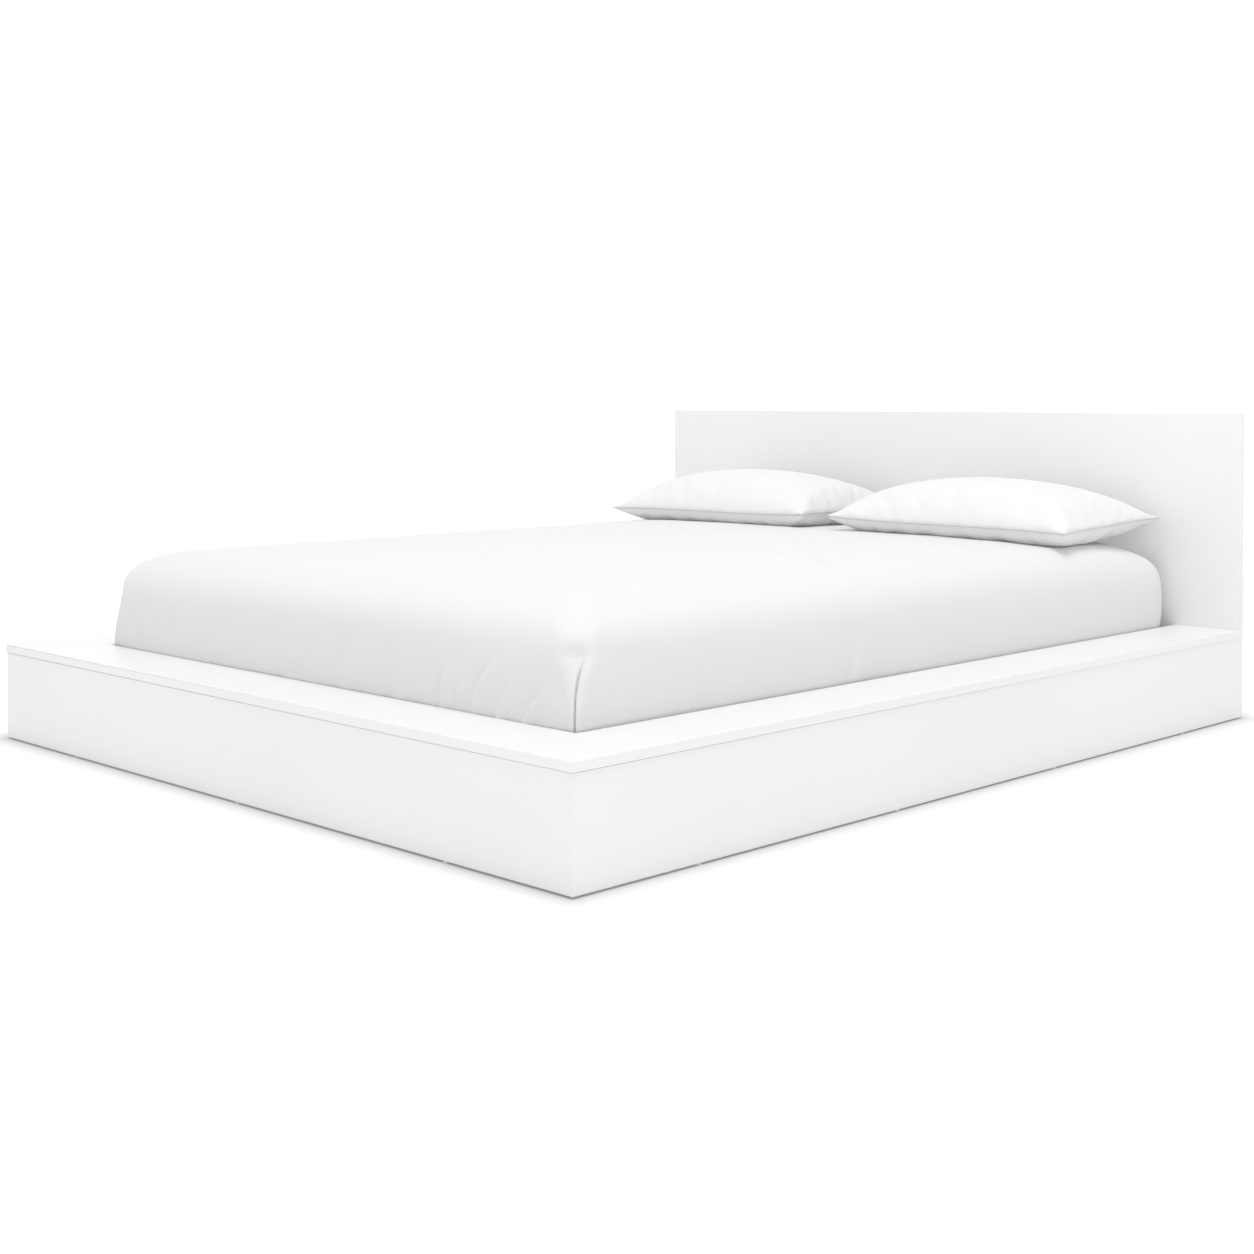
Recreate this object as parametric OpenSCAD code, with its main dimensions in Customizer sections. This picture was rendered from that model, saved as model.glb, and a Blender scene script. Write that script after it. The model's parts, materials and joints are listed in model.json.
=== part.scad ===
// Floor bed: a low white board frame with a wide ledge round a recessed mattress,
// a plain upright headboard, and the made-up mattress with two pillows.
// The foot is towards -Y, the headboard towards +Y, and the floor is z = 0.
// Left and right are as seen from the foot, looking at the headboard.

/* [Mattress] */
// Width of the mattress
mattress_w = 1524; // [1400:1:1830]
// Length of the mattress
mattress_l = 2022; // [1850:1:2130]
// Thickness of the mattress
mattress_h = 250; // [220:1:300]
// Radius of the mattress's upright corners
mattress_corner_r = 49; // [35:1:80]
// Radius of the mattress's top edge
mattress_edge_r = 80; // [60:1:85]
// Radius of the mattress's bottom edge
mattress_foot_r = 15; // [8:1:25]

/* [Recess] */
// Space between the mattress and each side of the recess
recess_side_gap = 12; // [8:1:30]
// Space between the mattress and the foot of the recess
recess_foot_gap = 9; // [7:1:30]
// Space between the mattress and the headboard
recess_head_gap = 29; // [12:1:60]

/* [Frame boards] */
// Thickness of every white board
board_t = 18; // [16:0.5:25]
// Height of the upright base boards
base_h = 194; // [180:1:260]
// Width of the ledge from its outer edge to the recess
ledge_w = 170; // [130:1:260]
// How far the ledge stands out past the base boards
ledge_overhang = 2; // [0.5:0.5:8]
// Height of the headboard above the base boards
headboard_h = 546; // [300:1:800]

/* [Ribs and blocks] */
// Side of the square corner blocks
block_w = 40; // [32:1:50]
// Space above and below each corner block
block_gap = 10; // [4:1:20]
// Height of the lower screw or dowel in a rib, above the board's lower edge
rib_low_z = 35; // [28:1:40]
// Height of the upper confirmat screw above the lower one
rib_screw_pitch = 37; // [30:1:40]
// Height of the upper dowel above the lower one
rib_dowel_pitch = 105; // [60:1:120]

/* [Slatted base] */
// Number of slats
slat_count = 13; // [10:1:13]
// Width of a slat
slat_w = 90; // [70:1:100]
// Thickness of a slat
slat_t = 18; // [15:0.5:22]
// Height of the slats' top above the lower edge of the base boards
slat_top_h = 165; // [160:1:172]
// Space between a slat's end and the recess wall
slat_end_gap = 6; // [2:1:12]
// Space between the end slats and the ends of the recess
slat_margin = 20; // [10:1:40]
// Height of the ledger strips under the slats' ends
ledger_h = 45; // [40:1:50]
// Thickness of the ledger strips
ledger_t = 28; // [24:1:36]
// Height of the centre beam
beam_h = 60; // [54:1:70]
// Width of the centre beam
beam_w = 40; // [30:1:60]
// Side of a centre leg
leg_w = 50; // [40:1:70]

/* [Steel fittings] */
// Thickness of the beam hangers
hanger_t = 3; // [2:0.5:4]
// Length of a hanger's cradle
hanger_l = 50; // [35:1:70]
// Width of each of a hanger's flanges
hanger_flange_w = 26; // [22:1:34]
// Thickness of the joining plates on the headboard's back
plate_t = 2.5; // [1.5:0.5:3.5]
// Width of a joining plate
plate_w = 60; // [50:1:80]
// Height of a joining plate
plate_h = 120; // [100:1:130]
// Thickness of the ledge brackets
bracket_t = 2; // [1.5:0.5:3]
// Length of each leg of a ledge bracket
bracket_l = 30; // [24:1:36]
// Width of a ledge bracket
bracket_w = 20; // [16:1:26]

/* [Screws and dowels] */
// Diameter of the wooden dowels
dowel_d = 8; // [6:0.5:9]
// Length of the wooden dowels between a board's face and another's end
dowel_l = 30; // [26:1:36]
// Depth of a dowel in the board whose face it enters
dowel_depth = 12; // [9:0.5:14]
// Length of the dowels under the headboard
headboard_dowel_l = 40; // [30:1:60]
// Length of the confirmat screws
confirmat_l = 50; // [45:1:70]
// Diameter of the confirmat screws
confirmat_d = 7; // [5:0.5:7]
// Length of the slat screws
slat_screw_l = 40; // [32:1:45]
// Diameter of the slat screws
slat_screw_d = 4; // [3.5:0.5:5]
// Length of the ledger screws
ledger_screw_l = 40; // [38:1:42]
// Length of the block screws
block_screw_l = 50; // [46:1:55]
// Length of the short screws that hold steel to wood
short_screw_l = 14; // [10:1:15]
// Diameter of the short screws
short_screw_d = 3.5; // [3:0.5:4]
// Diameter of the centre legs' bolts
leg_bolt_d = 8; // [6:1:10]
// Length of the centre legs' bolts
leg_bolt_l = 60; // [40:1:66]
// Length of the splines in the ledge's mitres
spline_l = 100; // [60:1:120]
// Width of the splines in the ledge's mitres
spline_w = 20; // [14:1:30]
// Thickness of the splines in the ledge's mitres
spline_t = 4; // [3:0.5:6]

/* [Glides] */
// Thickness of the glides under the boards
glide_h = 3; // [2:0.5:6]
// Diameter of the glides
glide_d = 16; // [12:1:16]
// Diameter of a glide's nail
glide_nail_d = 2; // [1.5:0.5:3]
// Length of a glide's nail
glide_nail_l = 14; // [8:1:18]

/* [Coverlet] */
// Thickness of the coverlet on the mattress's sides
cover_t = 5; // [4.5:0.5:6]
// How much softer the coverlet's top edge is than the mattress's
cover_soft = 5; // [3:0.5:6]
// Crown of the coverlet from its edge to the middle
cover_crown = 15; // [8:1:24]
// Distance from the edge over which the coverlet's crown rises
cover_crown_w = 450; // [250:1:600]
// How far the coverlet's sides swell out above the ledge
cover_bulge = 5; // [2:0.5:6]
// Space between the tucked coverlet and the slats
cover_tuck_gap = 10; // [6:1:20]
// Depth of the tuck on the middle of each foot corner's curve
tuck_depth = 3.5; // [1:0.5:4]
// How far round the corner's curve the tuck reaches to each side, in degrees
tuck_turn = 8; // [4:0.5:12]
// Height of the tuck above the ledge
tuck_h = 118; // [60:1:130]
// Depth of the soft folds on the foot side
fold_depth = 2.5; // [1:0.5:3.5]
// Distance from fold to fold, the first one lying a little nearer to its corner
fold_pitch = 118; // [80:1:130]
// Width of a soft fold
fold_w = 44; // [30:1:50]

/* [Pillows] */
// Length of a pillow across the bed, over its corners
pillow_w = 704; // [600:1:720]
// Depth of a pillow along the bed, over its corners
pillow_d = 437; // [380:1:480]
// Height of the pillow's crown above its seam
pillow_crown = 112; // [70:1:140]
// Depth of the pillow's belly below its seam
pillow_belly = 32; // [20:1:50]
// How far the sides are drawn in between the corners
pillow_draw = 22; // [10:1:40]
// How far the corners lift above the middle of the seam
pillow_corner_lift = 10; // [0:1:20]
// Space between the two pillows' corners
pillow_gap = 80; // [40:1:110]
// How far the pair lies to the right of the bed's middle
pillow_shift = 4; // [-60:1:60]
// Space between the pillows' corners and the headboard
pillow_back_gap = 36; // [12:1:140]

/* [Hidden] */
$fn = 32;
// What lies against something soft stays this far from it
soft_gap = 0.3;
// Play round each screw, dowel and spline in its hole
hole_gap = 0.05;
// Play round the beam in its hangers
beam_gap = 0.3;
rib_count = 4;
plate_count = 3;
leg_count = 3;
board_glides = 3;
rail_glides = 2;
confirmat_head_d = 10;
confirmat_head_h = 3;
wood_screw_head_d = 8;
wood_screw_head_h = 2.2;
steel_screw_head_d = 6.5;
steel_screw_head_h = 1.4;
block_screw_margin = 24;
block_screw_in = 12;
block_screw_step = 10;
hanger_screw_z = 15;
hanger_top_gap = 6;
plate_screw_x = 18;
plate_screw_z = [15, 45];
cut_over = 1;

recess_w = mattress_w + 2 * recess_side_gap;
recess_l = mattress_l + recess_foot_gap + recess_head_gap;
bed_w = recess_w + 2 * ledge_w;
bed_l = recess_l + ledge_w + board_t;
half_w = bed_w / 2;
half_l = bed_l / 2;
// Outer faces of the base boards
base_x = half_w - ledge_overhang;
base_foot_y = -half_l + ledge_overhang;
// Walls of the recess
recess_x = recess_w / 2;
recess_foot_y = -half_l + ledge_w;
head_y = half_l - board_t;
// Levels
base_z = glide_h;
base_top_z = base_z + base_h;
ledge_top_z = base_top_z + board_t;
slat_top_z = base_z + slat_top_h;
slat_z = slat_top_z - slat_t;
ledger_z = slat_z - ledger_h;
beam_z = slat_z - beam_h;
headboard_top_z = base_top_z + headboard_h;
// Inner walls of the ledge's hollow box
rail_x = recess_x + board_t;
rib_l = base_x - board_t - rail_x;
rail_foot_y = recess_foot_y - board_t;
foot_inner_y = base_foot_y + board_t;
rib_low = base_z + rib_low_z;
rib_screw_zs = [rib_low, rib_low + rib_screw_pitch];
rib_dowel_zs = [rib_low, rib_low + rib_dowel_pitch];
rib_ys = [for (i = [1 : rib_count]) foot_inner_y + (i - 0.5) * (head_y - foot_inner_y) / rib_count];
rib_xs = [for (i = [1 : rib_count]) (i - 0.5) * recess_w / rib_count - recess_x];
slat_pitch = (recess_l - 2 * slat_margin - slat_w) / (slat_count - 1);
slat_ys = [for (i = [1 : slat_count]) recess_foot_y + slat_margin + slat_w / 2 + (i - 1) * slat_pitch];
ledger_screw_ys = [for (i = [1 : 2 : slat_count - 1]) slat_ys[i - 1] + slat_pitch / 2];
ledger_mid_x = recess_x - ledger_t / 2;
leg_ys = [for (i = [1 : leg_count]) recess_foot_y + i * recess_l / (leg_count + 1)];
beam_l = recess_l - 2 * (hanger_t + beam_gap);
block_x = base_x - board_t - block_w;
block_low_z = base_z + block_gap;
block_top_z = base_top_z - block_gap;
block_screw_zs = [block_low_z + block_screw_margin, block_top_z - block_screw_margin];
hanger_x = beam_w / 2 + beam_gap;
hanger_z = beam_z - beam_gap - hanger_t;
hanger_top_z = slat_z - hanger_top_gap;
hanger_screw_x = hanger_x + hanger_t + hanger_flange_w / 2;
bracket_x = (rail_x + base_x - board_t) / 2;
bracket_hole = bracket_t + (bracket_l - bracket_t) * 0.6;
rear_l = 2 * (base_x - board_t);
plate_xs = [for (i = [1 : plate_count]) ((i - 0.5) / plate_count - 0.5) * rear_l];
headboard_dowel_xs = [for (i = [1 : 2 * plate_count]) ((i - 0.5) / plate_count / 2 - 0.5) * rear_l];
spline_mid = ledge_w / 2;
// The mattress and what covers it
mattress_z = slat_top_z + soft_gap;
mattress_top_z = mattress_z + mattress_h;
mattress_y = recess_foot_y + recess_foot_gap + mattress_l / 2;
cover_half_w = mattress_w / 2 + cover_t;
cover_half_l = mattress_l / 2 + cover_t;
cover_corner_r = mattress_corner_r + cover_t;
cover_edge_w = mattress_edge_r + cover_t + cover_soft;
cover_edge_h = mattress_edge_r + cover_t;
cover_shoulder_z = mattress_top_z - mattress_edge_r;
cover_low_z = slat_top_z + cover_tuck_gap;
// Points on each curve of the mattress and the coverlet; the corners' count is even, for the tuck in the middle
arc_steps = 6;
foot_steps = 3;
edge_steps = 5;
crown_steps = 3;
side_steps = 6;
// The corners' curves grow rounder towards the top, as soft goods do, up to this inset
corner_growth = 0.6;
corner_growth_w = 200;
fold_count = 3;
// Height above the ledge at which the soft folds have faded
fold_fade_h = 150;
// The pillows
pillow_y = head_y - pillow_back_gap - pillow_d / 2;
pillow_right_x = pillow_shift + (pillow_gap + pillow_w) / 2;
pillow_left_x = pillow_shift - (pillow_gap + pillow_w) / 2;
pillow_seam_z = mattress_top_z + cover_t + cover_crown + soft_gap + pillow_belly;
pillow_rings = 8;
pillow_side = 10;
// Powers that set how full the crown and the belly are near the seam
crown_power = 0.62;
belly_power = 0.42;
// The belly would hang this many times deeper if nothing carried it
belly_slack = 1.5;
// Powers that keep the draw near the middle of a side and the lift near a corner
draw_power = 4;
lift_power = 3;

board_color = "#f4f4f2";
slat_color = "#e3c796";
steel_color = "#c3c6c9";
cloth_color = "#fbfbfa";
ticking_color = "#ece9e1";
dowel_color = "#d9b77e";
nylon_color = "#d8d8d6";

SLATS = [for (i = [1 : slat_count]) str("slat_", i)];
RIBS = [for (bay = ["left", "right", "foot"]) for (i = [1 : rib_count]) str("rib_", bay, "_", i)];
LEGS = [for (i = [1 : leg_count]) str("centre_leg_", i)];
BLOCKS = ["block_foot_left", "block_foot_right", "block_rear_left", "block_rear_right"];

// Turns a shape made for the right-hand side to the left where side is "left"
module on_side(side) {
    if (side == "left") {
        mirror([1, 0, 0]) children();
    } else {
        children();
    }
}

// A box between two corners
module block(low, high) {
    translate(low) cube(high - low);
}

// A countersunk screw with its head's top at the origin, pointing along -Z. With play it is the
// hole for that screw, wider all round and open above the head.
module screw(d, l, head_d, head_h, play = 0) {
    translate([0, 0, -l - play]) cylinder(d = d + 2 * play, h = l + play);
    translate([0, 0, -head_h]) cylinder(d1 = d + 2 * play, d2 = head_d + 2 * play, h = head_h);
    if (play > 0) {
        cylinder(d = head_d + 2 * play, h = cut_over);
    }
}

// Copies a shape to each side of the bed
module both_sides() {
    children();
    mirror([1, 0, 0]) children();
}

// Dowels

// A dowel centred on the origin along Z
module dowel(l, play = 0) {
    cylinder(d = dowel_d + 2 * play, h = l + 2 * play, center = true);
}

// Dowels between the ribs and the outer boards of the right and left bays
module side_rib_dowels(play = 0) {
    for (y = rib_ys, z = rib_dowel_zs) {
        translate([base_x - board_t + dowel_depth - dowel_l / 2, y, z]) rotate([0, 90, 0]) dowel(dowel_l, play);
    }
}

// Dowels between the foot ribs and the foot board
module foot_rib_dowels(play = 0) {
    for (x = rib_xs, z = rib_dowel_zs) {
        translate([x, foot_inner_y - dowel_depth + dowel_l / 2, z]) rotate([90, 0, 0]) dowel(dowel_l, play);
    }
}

// Dowels between a side rail's ends and the foot and rear boards
module rail_dowels(play = 0) {
    for (z = rib_dowel_zs) {
        translate([recess_x + board_t / 2, foot_inner_y - dowel_depth + dowel_l / 2, z])
            rotate([90, 0, 0]) dowel(dowel_l, play);
        translate([recess_x + board_t / 2, head_y + dowel_depth - dowel_l / 2, z])
            rotate([90, 0, 0]) dowel(dowel_l, play);
    }
}

// Dowels between the rear board and the headboard
module headboard_dowels(play = 0) {
    for (x = headboard_dowel_xs) {
        translate([x, half_l - board_t / 2, base_top_z]) dowel(headboard_dowel_l, play);
    }
}

module dowels() {
    color(dowel_color) {
        both_sides() side_rib_dowels();
        foot_rib_dowels();
        both_sides() rail_dowels();
        headboard_dowels();
    }
}

// Screws

module confirmat(play = 0) {
    screw(confirmat_d, confirmat_l, confirmat_head_d, confirmat_head_h, play);
}

module wood_screw(l, play = 0) {
    screw(slat_screw_d, l, wood_screw_head_d, wood_screw_head_h, play);
}

module steel_screw(play = 0) {
    screw(short_screw_d, short_screw_l, steel_screw_head_d, steel_screw_head_h, play);
}

// Confirmat screws from the recess through a side rail into its ribs
module side_confirmats(play = 0) {
    for (y = rib_ys, z = rib_screw_zs) {
        translate([recess_x, y, z]) rotate([0, -90, 0]) confirmat(play);
    }
}

// Confirmat screws from the recess through the foot rail into its ribs
module foot_confirmats(play = 0) {
    for (x = rib_xs, z = rib_screw_zs) {
        translate([x, recess_foot_y, z]) rotate([-90, 0, 0]) confirmat(play);
    }
}

// Confirmat screws from the corner bay through a side rail into the foot rail's end
module corner_confirmats(play = 0) {
    for (z = rib_screw_zs) {
        translate([rail_x, recess_foot_y - board_t / 2, z]) rotate([0, 90, 0]) confirmat(play);
    }
}

module confirmat_screws() {
    color(steel_color) {
        both_sides() side_confirmats();
        foot_confirmats();
        both_sides() corner_confirmats();
    }
}

// Screws through one slat into the ledgers and the centre beam
module slat_row_screws(y, play = 0) {
    for (x = [-ledger_mid_x, 0, ledger_mid_x]) {
        translate([x, y, slat_top_z]) wood_screw(slat_screw_l, play);
    }
}

// Screws through a ledger into its side rail
module ledger_screws(play = 0) {
    for (y = ledger_screw_ys) {
        translate([recess_x - ledger_t, y, ledger_z + ledger_h / 2])
            rotate([0, -90, 0]) wood_screw(ledger_screw_l, play);
    }
}

// Screws through the corner blocks into the boards that they join
module block_screws(play = 0) {
    for (out = [-1, 1]) {
        y = out < 0 ? foot_inner_y : head_y;
        for (z = block_screw_zs) {
            translate([block_x, y - out * block_screw_in, z])
                rotate([0, -90, 0]) wood_screw(block_screw_l, play);
            translate([block_x + block_w - block_screw_in, y - out * block_w, z + block_screw_step])
                rotate([out * 90, 0, 0]) wood_screw(block_screw_l, play);
        }
    }
}

module wood_screws() {
    color(steel_color) {
        for (y = slat_ys) slat_row_screws(y);
        both_sides() {
            ledger_screws();
            block_screws();
        }
    }
}

// Screws that hold one joining plate to the headboard and the rear board
module joining_plate_screws(x, play = 0) {
    for (dx = [-plate_screw_x, plate_screw_x], dz = plate_screw_z, up = [-1, 1]) {
        translate([x + dx, half_l, base_top_z + up * dz]) rotate([-90, 0, 0]) steel_screw(play);
    }
}

// Screws through a hanger's flanges into the foot rail or the rear board
module hanger_screws(play = 0) {
    for (x = [-hanger_screw_x, hanger_screw_x], z = [hanger_z + hanger_screw_z, hanger_top_z - hanger_screw_z]) {
        translate([x, recess_foot_y + hanger_t, z]) rotate([-90, 0, 0]) steel_screw(play);
        translate([x, head_y - hanger_t, z]) rotate([90, 0, 0]) steel_screw(play);
    }
}

// A ledge bracket's two screws; the bracket's corner is at the origin, under the ledge, and it lies along +Y
module bracket_screws(play = 0) {
    translate([0, bracket_t, -bracket_hole]) rotate([-90, 0, 0]) steel_screw(play);
    translate([0, bracket_hole, -bracket_t]) rotate([180, 0, 0]) steel_screw(play);
}

// Places a shape at each bracket of the right-hand bay
module at_side_brackets() {
    for (y = rib_ys) {
        translate([bracket_x, y + board_t / 2, base_top_z]) children();
    }
}

// Places a shape at each bracket of the foot bay
module at_foot_brackets() {
    for (x = rib_xs) {
        translate([x + board_t / 2, (foot_inner_y + rail_foot_y) / 2, base_top_z]) rotate([0, 0, -90]) children();
    }
}

module steel_screws() {
    color(steel_color) {
        for (x = plate_xs) joining_plate_screws(x);
        hanger_screws();
        both_sides() at_side_brackets() bracket_screws();
        at_foot_brackets() bracket_screws();
    }
}

module leg_bolt(y, play = 0) {
    translate([0, y, beam_z]) cylinder(d = leg_bolt_d + 2 * play, h = leg_bolt_l + 2 * play, center = true);
}

module leg_bolts() {
    color(steel_color) for (y = leg_ys) leg_bolt(y);
}

// Glides

// A nail-on glide under a board whose lower edge is at base_z; with play it is the nail's hole
module glide(x, y, play = 0) {
    translate([x, y, base_z]) cylinder(d = glide_nail_d + 2 * play, h = glide_nail_l + play);
    if (play == 0) {
        translate([x, y, 0]) cylinder(d = glide_d, h = glide_h);
    }
}

// Glides in a row along X under a board
module glides_along_x(y, half, count, play = 0) {
    for (i = [1 : count]) {
        glide(((i - 0.5) / count - 0.5) * 2 * half, y, play);
    }
}

// Glides under a board that runs along Y, one below each rib
module glides_along_y(x, play = 0) {
    for (y = rib_ys) glide(x, y, play);
}

module foot_board_glides(play = 0) {
    glides_along_x(base_foot_y + board_t / 2, base_x, board_glides, play);
}

module rear_board_glides(play = 0) {
    glides_along_x(half_l - board_t / 2, rear_l / 2, board_glides, play);
}

module foot_rail_glides(play = 0) {
    glides_along_x(recess_foot_y - board_t / 2, recess_x, rail_glides, play);
}

module floor_glides() {
    color(nylon_color) {
        both_sides() {
            glides_along_y(base_x - board_t / 2);
            glides_along_y(recess_x + board_t / 2);
        }
        foot_board_glides();
        rear_board_glides();
        foot_rail_glides();
        for (y = leg_ys) glide(0, y);
    }
}

// Base boards

module foot_board() {
    color(board_color) difference() {
        translate([0, 0, base_z]) linear_extrude(base_h) polygon([
            [-base_x, base_foot_y],
            [base_x, base_foot_y],
            [base_x - board_t, foot_inner_y],
            [board_t - base_x, foot_inner_y]
        ]);
        foot_rib_dowels(hole_gap);
        both_sides() rail_dowels(hole_gap);
        both_sides() block_screws(hole_gap);
        foot_board_glides(hole_gap);
    }
}

module side_board(side) {
    color(board_color) on_side(side) difference() {
        translate([0, 0, base_z]) linear_extrude(base_h) polygon([
            [base_x, base_foot_y],
            [base_x, half_l],
            [base_x - board_t, half_l],
            [base_x - board_t, foot_inner_y]
        ]);
        side_rib_dowels(hole_gap);
        block_screws(hole_gap);
        glides_along_y(base_x - board_t / 2, hole_gap);
    }
}

module rear_board() {
    color(board_color) difference() {
        block([-rear_l / 2, head_y, base_z], [rear_l / 2, half_l, base_top_z]);
        for (x = plate_xs) {
            plate_pocket(x);
            joining_plate_screws(x, hole_gap);
        }
        headboard_dowels(hole_gap);
        hanger_screws(hole_gap);
        both_sides() rail_dowels(hole_gap);
        both_sides() block_screws(hole_gap);
        rear_board_glides(hole_gap);
    }
}

// Ledge boards

// The spline in the right-hand mitre of the ledge
module mitre_spline(play = 0) {
    translate([half_w - spline_mid, spline_mid - half_l, base_top_z + board_t / 2]) rotate([0, 0, 135])
        cube([spline_l + 2 * play, spline_w + 2 * play, spline_t + 2 * play], center = true);
}

module mitre_splines() {
    color(dowel_color) both_sides() mitre_spline();
}

module ledge_foot() {
    color(board_color) difference() {
        translate([0, 0, base_top_z]) linear_extrude(board_t) polygon([
            [-half_w, -half_l],
            [half_w, -half_l],
            [recess_x, recess_foot_y],
            [-recess_x, recess_foot_y]
        ]);
        both_sides() mitre_spline(hole_gap);
        at_foot_brackets() bracket_screws(hole_gap);
    }
}

module ledge_side(side) {
    color(board_color) on_side(side) difference() {
        translate([0, 0, base_top_z]) linear_extrude(board_t) polygon([
            [half_w, -half_l],
            [half_w, head_y],
            [recess_x, head_y],
            [recess_x, recess_foot_y]
        ]);
        mitre_spline(hole_gap);
        at_side_brackets() bracket_screws(hole_gap);
    }
}

// Rails that wall the recess

module rail_foot() {
    color(board_color) difference() {
        block([-recess_x, rail_foot_y, base_z], [recess_x, recess_foot_y, base_top_z]);
        foot_confirmats(hole_gap);
        both_sides() corner_confirmats(hole_gap);
        hanger_screws(hole_gap);
        foot_rail_glides(hole_gap);
    }
}

module rail_side(side) {
    color(board_color) on_side(side) difference() {
        block([recess_x, foot_inner_y, base_z], [rail_x, head_y, base_top_z]);
        side_confirmats(hole_gap);
        corner_confirmats(hole_gap);
        ledger_screws(hole_gap);
        rail_dowels(hole_gap);
        glides_along_y(recess_x + board_t / 2, hole_gap);
    }
}

// Ribs between the rails and the base boards

module rib_side(side, i) {
    y = rib_ys[i - 1];
    color(slat_color) on_side(side) difference() {
        block([rail_x, y - board_t / 2, base_z], [rail_x + rib_l, y + board_t / 2, base_top_z]);
        side_confirmats(hole_gap);
        side_rib_dowels(hole_gap);
        at_side_brackets() bracket_screws(hole_gap);
    }
}

module rib_foot(i) {
    x = rib_xs[i - 1];
    color(slat_color) difference() {
        block([x - board_t / 2, foot_inner_y, base_z], [x + board_t / 2, rail_foot_y, base_top_z]);
        foot_confirmats(hole_gap);
        foot_rib_dowels(hole_gap);
        at_foot_brackets() bracket_screws(hole_gap);
    }
}

module corner_block(end, side) {
    y = end == "foot" ? foot_inner_y : head_y - block_w;
    color(slat_color) on_side(side) difference() {
        block([block_x, y, block_low_z], [block_x + block_w, y + block_w, block_top_z]);
        block_screws(hole_gap);
    }
}

module ledge_bracket() {
    difference() {
        union() {
            block([-bracket_w / 2, 0, -bracket_l], [bracket_w / 2, bracket_t, 0]);
            block([-bracket_w / 2, 0, -bracket_t], [bracket_w / 2, bracket_l, 0]);
        }
        bracket_screws(hole_gap);
    }
}

module ledge_brackets() {
    color(steel_color) {
        both_sides() at_side_brackets() ledge_bracket();
        at_foot_brackets() ledge_bracket();
    }
}

// Headboard

// The shallow pocket that lets a joining plate lie flush with the back
module plate_pocket(x) {
    block(
        [x - plate_w / 2, half_l - plate_t, base_top_z - plate_h / 2],
        [x + plate_w / 2, half_l + cut_over, base_top_z + plate_h / 2]
    );
}

module headboard() {
    color(board_color) difference() {
        block([-half_w, head_y, base_top_z], [half_w, half_l, headboard_top_z]);
        for (x = plate_xs) {
            plate_pocket(x);
            joining_plate_screws(x, hole_gap);
        }
        headboard_dowels(hole_gap);
    }
}

module joining_plates() {
    color(steel_color) for (x = plate_xs) difference() {
        block(
            [x - plate_w / 2, half_l - plate_t, base_top_z - plate_h / 2],
            [x + plate_w / 2, half_l, base_top_z + plate_h / 2]
        );
        joining_plate_screws(x, hole_gap);
    }
}

// Slatted base

module ledger(side) {
    color(slat_color) on_side(side) difference() {
        block([recess_x - ledger_t, recess_foot_y, ledger_z], [recess_x, head_y, slat_z]);
        for (y = slat_ys) slat_row_screws(y, hole_gap);
        ledger_screws(hole_gap);
    }
}

module centre_beam() {
    color(slat_color) difference() {
        translate([0, (recess_foot_y + head_y) / 2, beam_z + beam_h / 2])
            cube([beam_w, beam_l, beam_h], center = true);
        for (y = slat_ys) slat_row_screws(y, hole_gap);
        for (y = leg_ys) leg_bolt(y, hole_gap);
    }
}

module centre_leg(i) {
    y = leg_ys[i - 1];
    color(slat_color) difference() {
        block([-leg_w / 2, y - leg_w / 2, base_z], [leg_w / 2, y + leg_w / 2, beam_z]);
        leg_bolt(y, hole_gap);
        glide(0, y, hole_gap);
    }
}

// A steel shoe that carries the beam's foot end, screwed to the foot rail
module foot_hanger() {
    far_y = recess_foot_y + hanger_l;
    outer_x = hanger_x + hanger_t;
    flange_x = outer_x + hanger_flange_w;
    block([-flange_x, recess_foot_y, hanger_z], [flange_x, recess_foot_y + hanger_t, hanger_top_z]);
    block([-outer_x, recess_foot_y, hanger_z], [outer_x, far_y, hanger_z + hanger_t]);
    for (x = [-outer_x, hanger_x]) {
        block([x, recess_foot_y, hanger_z], [x + hanger_t, far_y, hanger_top_z]);
    }
}

module beam_hangers() {
    color(steel_color) difference() {
        union() {
            foot_hanger();
            translate([0, recess_foot_y + head_y, 0]) mirror([0, 1, 0]) foot_hanger();
        }
        hanger_screws(hole_gap);
    }
}

module slat(i) {
    y = slat_ys[i - 1];
    x = recess_x - slat_end_gap;
    color(slat_color) difference() {
        block([-x, y - slat_w / 2, slat_z], [x, y + slat_w / 2, slat_top_z]);
        slat_row_screws(y, hole_gap);
    }
}

// Soft forms

// A closed solid through rings of points that all have the same count, from one tip to the other
module loft(low_tip, rings, high_tip) {
    n = len(rings[0]);
    top = 1 + (len(rings) - 1) * n;
    points = concat([low_tip], [for (ring = rings) each ring], [high_tip]);
    bottom_faces = [for (j = [0 : n - 1]) [0, 1 + j, 1 + (j + 1) % n]];
    side_faces = [
        for (i = [0 : len(rings) - 2], j = [0 : n - 1])
            let (a = 1 + i * n + j, b = 1 + i * n + (j + 1) % n)
                each [[a, a + n, b + n], [a, b + n, b]]
    ];
    top_faces = [for (j = [0 : n - 1]) [top + (j + 1) % n, top + j, top + n]];
    polyhedron(points, concat(bottom_faces, side_faces, top_faces));
}

// How high the coverlet's top lies at a distance d in from its side
function edge_rise(d) = cover_edge_h * sqrt(1 - pow(1 - min(d / cover_edge_w, 1), 2));
function crown_rise(d) = cover_crown * (1 - pow(1 - min(d / cover_crown_w, 1), 2));
function cover_depth(x, y) = max(0, min(cover_half_w - abs(x), cover_half_l - abs(y - mattress_y)));
function cover_top(x, y) =
    let (d = cover_depth(x, y)) cover_shoulder_z + edge_rise(d) + crown_rise(d);

// The radius of a corner's curve at an inset from the side
function corner_r(r, inset) = r + corner_growth * min(max(inset, 0), corner_growth_w);

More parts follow.
